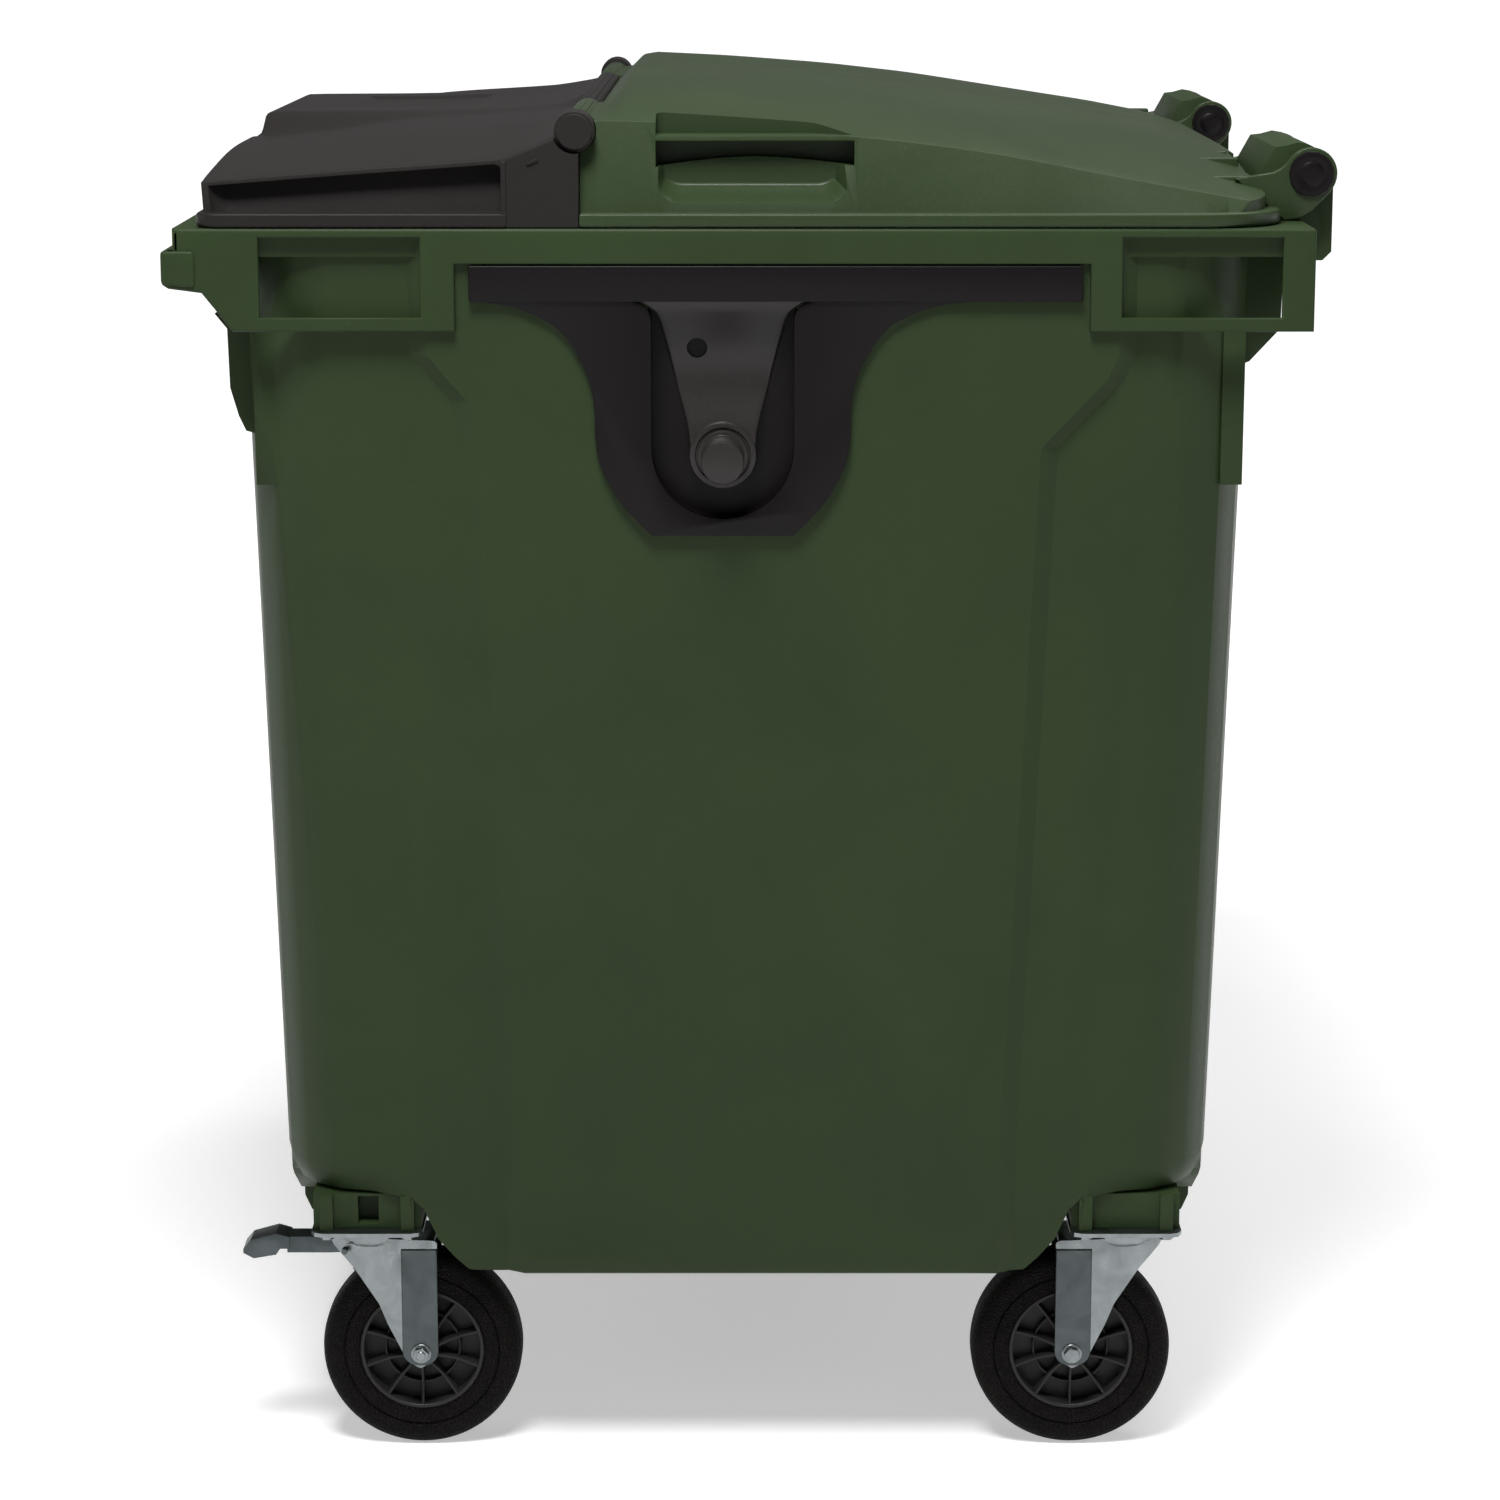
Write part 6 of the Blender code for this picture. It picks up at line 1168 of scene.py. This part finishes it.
def makeAxleEnd(nut):
    y, z = castorPlan["trail"], castorPlan["axle"]
    face = castorPlan["legOut"] + castorPlan["stripProud"]
    washer = turnedShape(
        ((face, 0.0095), (face + 0.0004, 0.0100), (face + 0.0012, 0.0100), (face + 0.0016, 0.0095),
         (face + 0.0016, 0.0052), (face, 0.0052)), 0, (0.0, y, z), 48)
    head = slab(arcPoints((y, z), 0.0082, range(12, 372, 60)), 0, face + 0.0016, face + 0.0072, edge=0.0007)
    end = turnedShape(((face, 0.0), (face, 0.0049), (face + 0.0080, 0.0049), (face + 0.0088, 0.0042),
                       (face + 0.0088, 0.0)), 0, (0.0, y, z), 32)
    whole = joined(washer, head, end) if nut else joined(washer, head)
    return whole if nut else mirroredOver(whole, 0)


for end in ("front", "rear"):
    for side in ("left", "right"):
        corner = f"{end}_{side}"
        fork, strips = makeFork()
        pieces = (
            # shape, name's end, body's end, finish, slot, node replaced
            (makeTyre(), "tyre_ring", "wheel", tyreRubber, "tyre_rubber", "tyre"),
            (makeHub(), "spoked_hub", "wheel", hubPlastic, "wheel_plastic", "hub"),
            (fork, "pressed_fork", "castor", zinc, "zinc", "fork"),
            # the leg strips take the darker zinc: painted shade for their darker reflection
            (strips, "leg_strips", "castor", dullShadedZinc, "zinc", ""),
            (makeAxleEnd(True), "axle_nut_end", "castor", zinc, "zinc", "axle_nut"),
            (makeAxleEnd(False), "axle_head_end", "castor", zinc, "zinc", "axle_bolt"),
        )
        for shape, name, body, finish, slot, stands in pieces:
            finishPiece(atCastor(shape, end, side), f"{corner}_{name}", f"{corner}_{body}", finish, slot,
                        (f"{corner}_{stands}",) if stands else ())
        if end == "front":
            dressSolid(corner + "_brake_pedal", corner + "_pedal", dullShadedZinc, "zinc", 0.0008)
print("stage: castors made")


# Floor, light and camera

stagePlan = {
    "floorTone": (0.82, 0.82, 0.82, 1.0), "floorSize": 400.0, "floorGlow": (0.45, 1.0),
    "glowReach": (1.3, 4.0), "ambient": 0.15, "bandTop": 0.03,
    "lamps": (
        # name, place, target, size, power
        ("key", (2.2, -0.4, 4.0), (0.2, 0.0, 0.9), 1.3, 165.0),
        ("fill", (-0.6, 1.2, 4.2), (-0.1, 0.0, 0.8), 2.4, 70.0),
        ("frontStrip", (0.6, -4.2, 1.9), (0.0, 0.0, 0.8), 1.4, 15.0),
        ("rearStrip", (0.6, 4.2, 1.9), (0.0, 0.0, 0.8), 1.4, 15.0),
    ),
    "lens": 97.32, "cameraPlace": (4.4281, -0.0041, 1.5307), "cameraPitch": 78.04,
}


# The floor takes the shadow near the castors and runs out to the white background
def makeFloor():
    shape = newShape()
    bmesh.ops.create_grid(shape, x_segments=1, y_segments=1, size=stagePlan["floorSize"] / 2)
    mesh = bpy.data.meshes.new("floor")
    shape.to_mesh(mesh)
    shape.free()
    tone = bpy.data.materials.new("floor")
    tone.use_nodes = True
    tree = tone.node_tree
    tree.nodes.remove(tree.nodes["Principled BSDF"])
    paint = tree.nodes.new("ShaderNodeBsdfDiffuse")
    paint.inputs["Color"].default_value = stagePlan["floorTone"]
    glow = tree.nodes.new("ShaderNodeEmission")
    where = tree.nodes.new("ShaderNodeTexCoord")
    reach = tree.nodes.new("ShaderNodeVectorMath")
    reach.operation = "LENGTH"
    tree.links.new(where.outputs["Object"], reach.inputs[0])
    rays = tree.nodes.new("ShaderNodeLightPath")
    level = ranged(tree, reach.outputs["Value"], *stagePlan["glowReach"], *stagePlan["floorGlow"])
    seen = sums(tree, "ADD", rays.outputs["Is Camera Ray"], rays.outputs["Is Glossy Ray"])
    seen = sums(tree, "MINIMUM", sums(tree, "ADD", seen, rays.outputs["Is Transmission Ray"]), 1.0)
    tree.links.new(sums(tree, "MULTIPLY", level, seen), glow.inputs["Strength"])
    both = tree.nodes.new("ShaderNodeAddShader")
    tree.links.new(paint.outputs[0], both.inputs[0])
    tree.links.new(glow.outputs[0], both.inputs[1])
    tree.links.new(both.outputs[0], tree.nodes["Material Output"].inputs["Surface"])
    mesh.materials.append(tone)
    floor = bpy.data.objects.new("floor", mesh)
    bpy.context.scene.collection.objects.link(floor)


def makeLamps():
    for name, place, target, size, power in stagePlan["lamps"]:
        lamp = bpy.data.lights.new(name, "AREA")
        lamp.shape = "DISK"
        lamp.size = size
        lamp.energy = power
        holder = bpy.data.objects.new(name, lamp)
        holder.location = place
        holder.rotation_euler = (Vector(target) - Vector(place)).to_track_quat("-Z", "Y").to_euler()
        bpy.context.scene.collection.objects.link(holder)


# A pale studio: white low on the horizon, softly grey overhead
def makeWorld():
    world = bpy.data.worlds.new("studio")
    world.use_nodes = True
    tree = world.node_tree
    back = tree.nodes["Background"]
    back.inputs["Color"].default_value = (1.0, 1.0, 1.0, 1.0)
    where = tree.nodes.new("ShaderNodeTexCoord")
    parts = tree.nodes.new("ShaderNodeSeparateXYZ")
    tree.links.new(where.outputs["Generated"], parts.inputs[0])
    level = ranged(tree, parts.outputs["Z"], 0.0, stagePlan["bandTop"], 1.0, stagePlan["ambient"])
    tree.links.new(level, back.inputs["Strength"])
    bpy.context.scene.world = world


def makeCamera():
    lens = bpy.data.cameras.new("view")
    lens.sensor_width = 36.0
    lens.lens = stagePlan["lens"]
    camera = bpy.data.objects.new("view", lens)
    camera.location = stagePlan["cameraPlace"]
    camera.rotation_euler = (math.radians(stagePlan["cameraPitch"]), 0.0, math.radians(90.0))
    bpy.context.scene.collection.objects.link(camera)
    bpy.context.scene.camera = camera


makeFloor()
makeLamps()
makeWorld()
makeCamera()
bpy.context.scene.view_settings.view_transform = "Standard"
print("stage: floor, lamps and camera set")
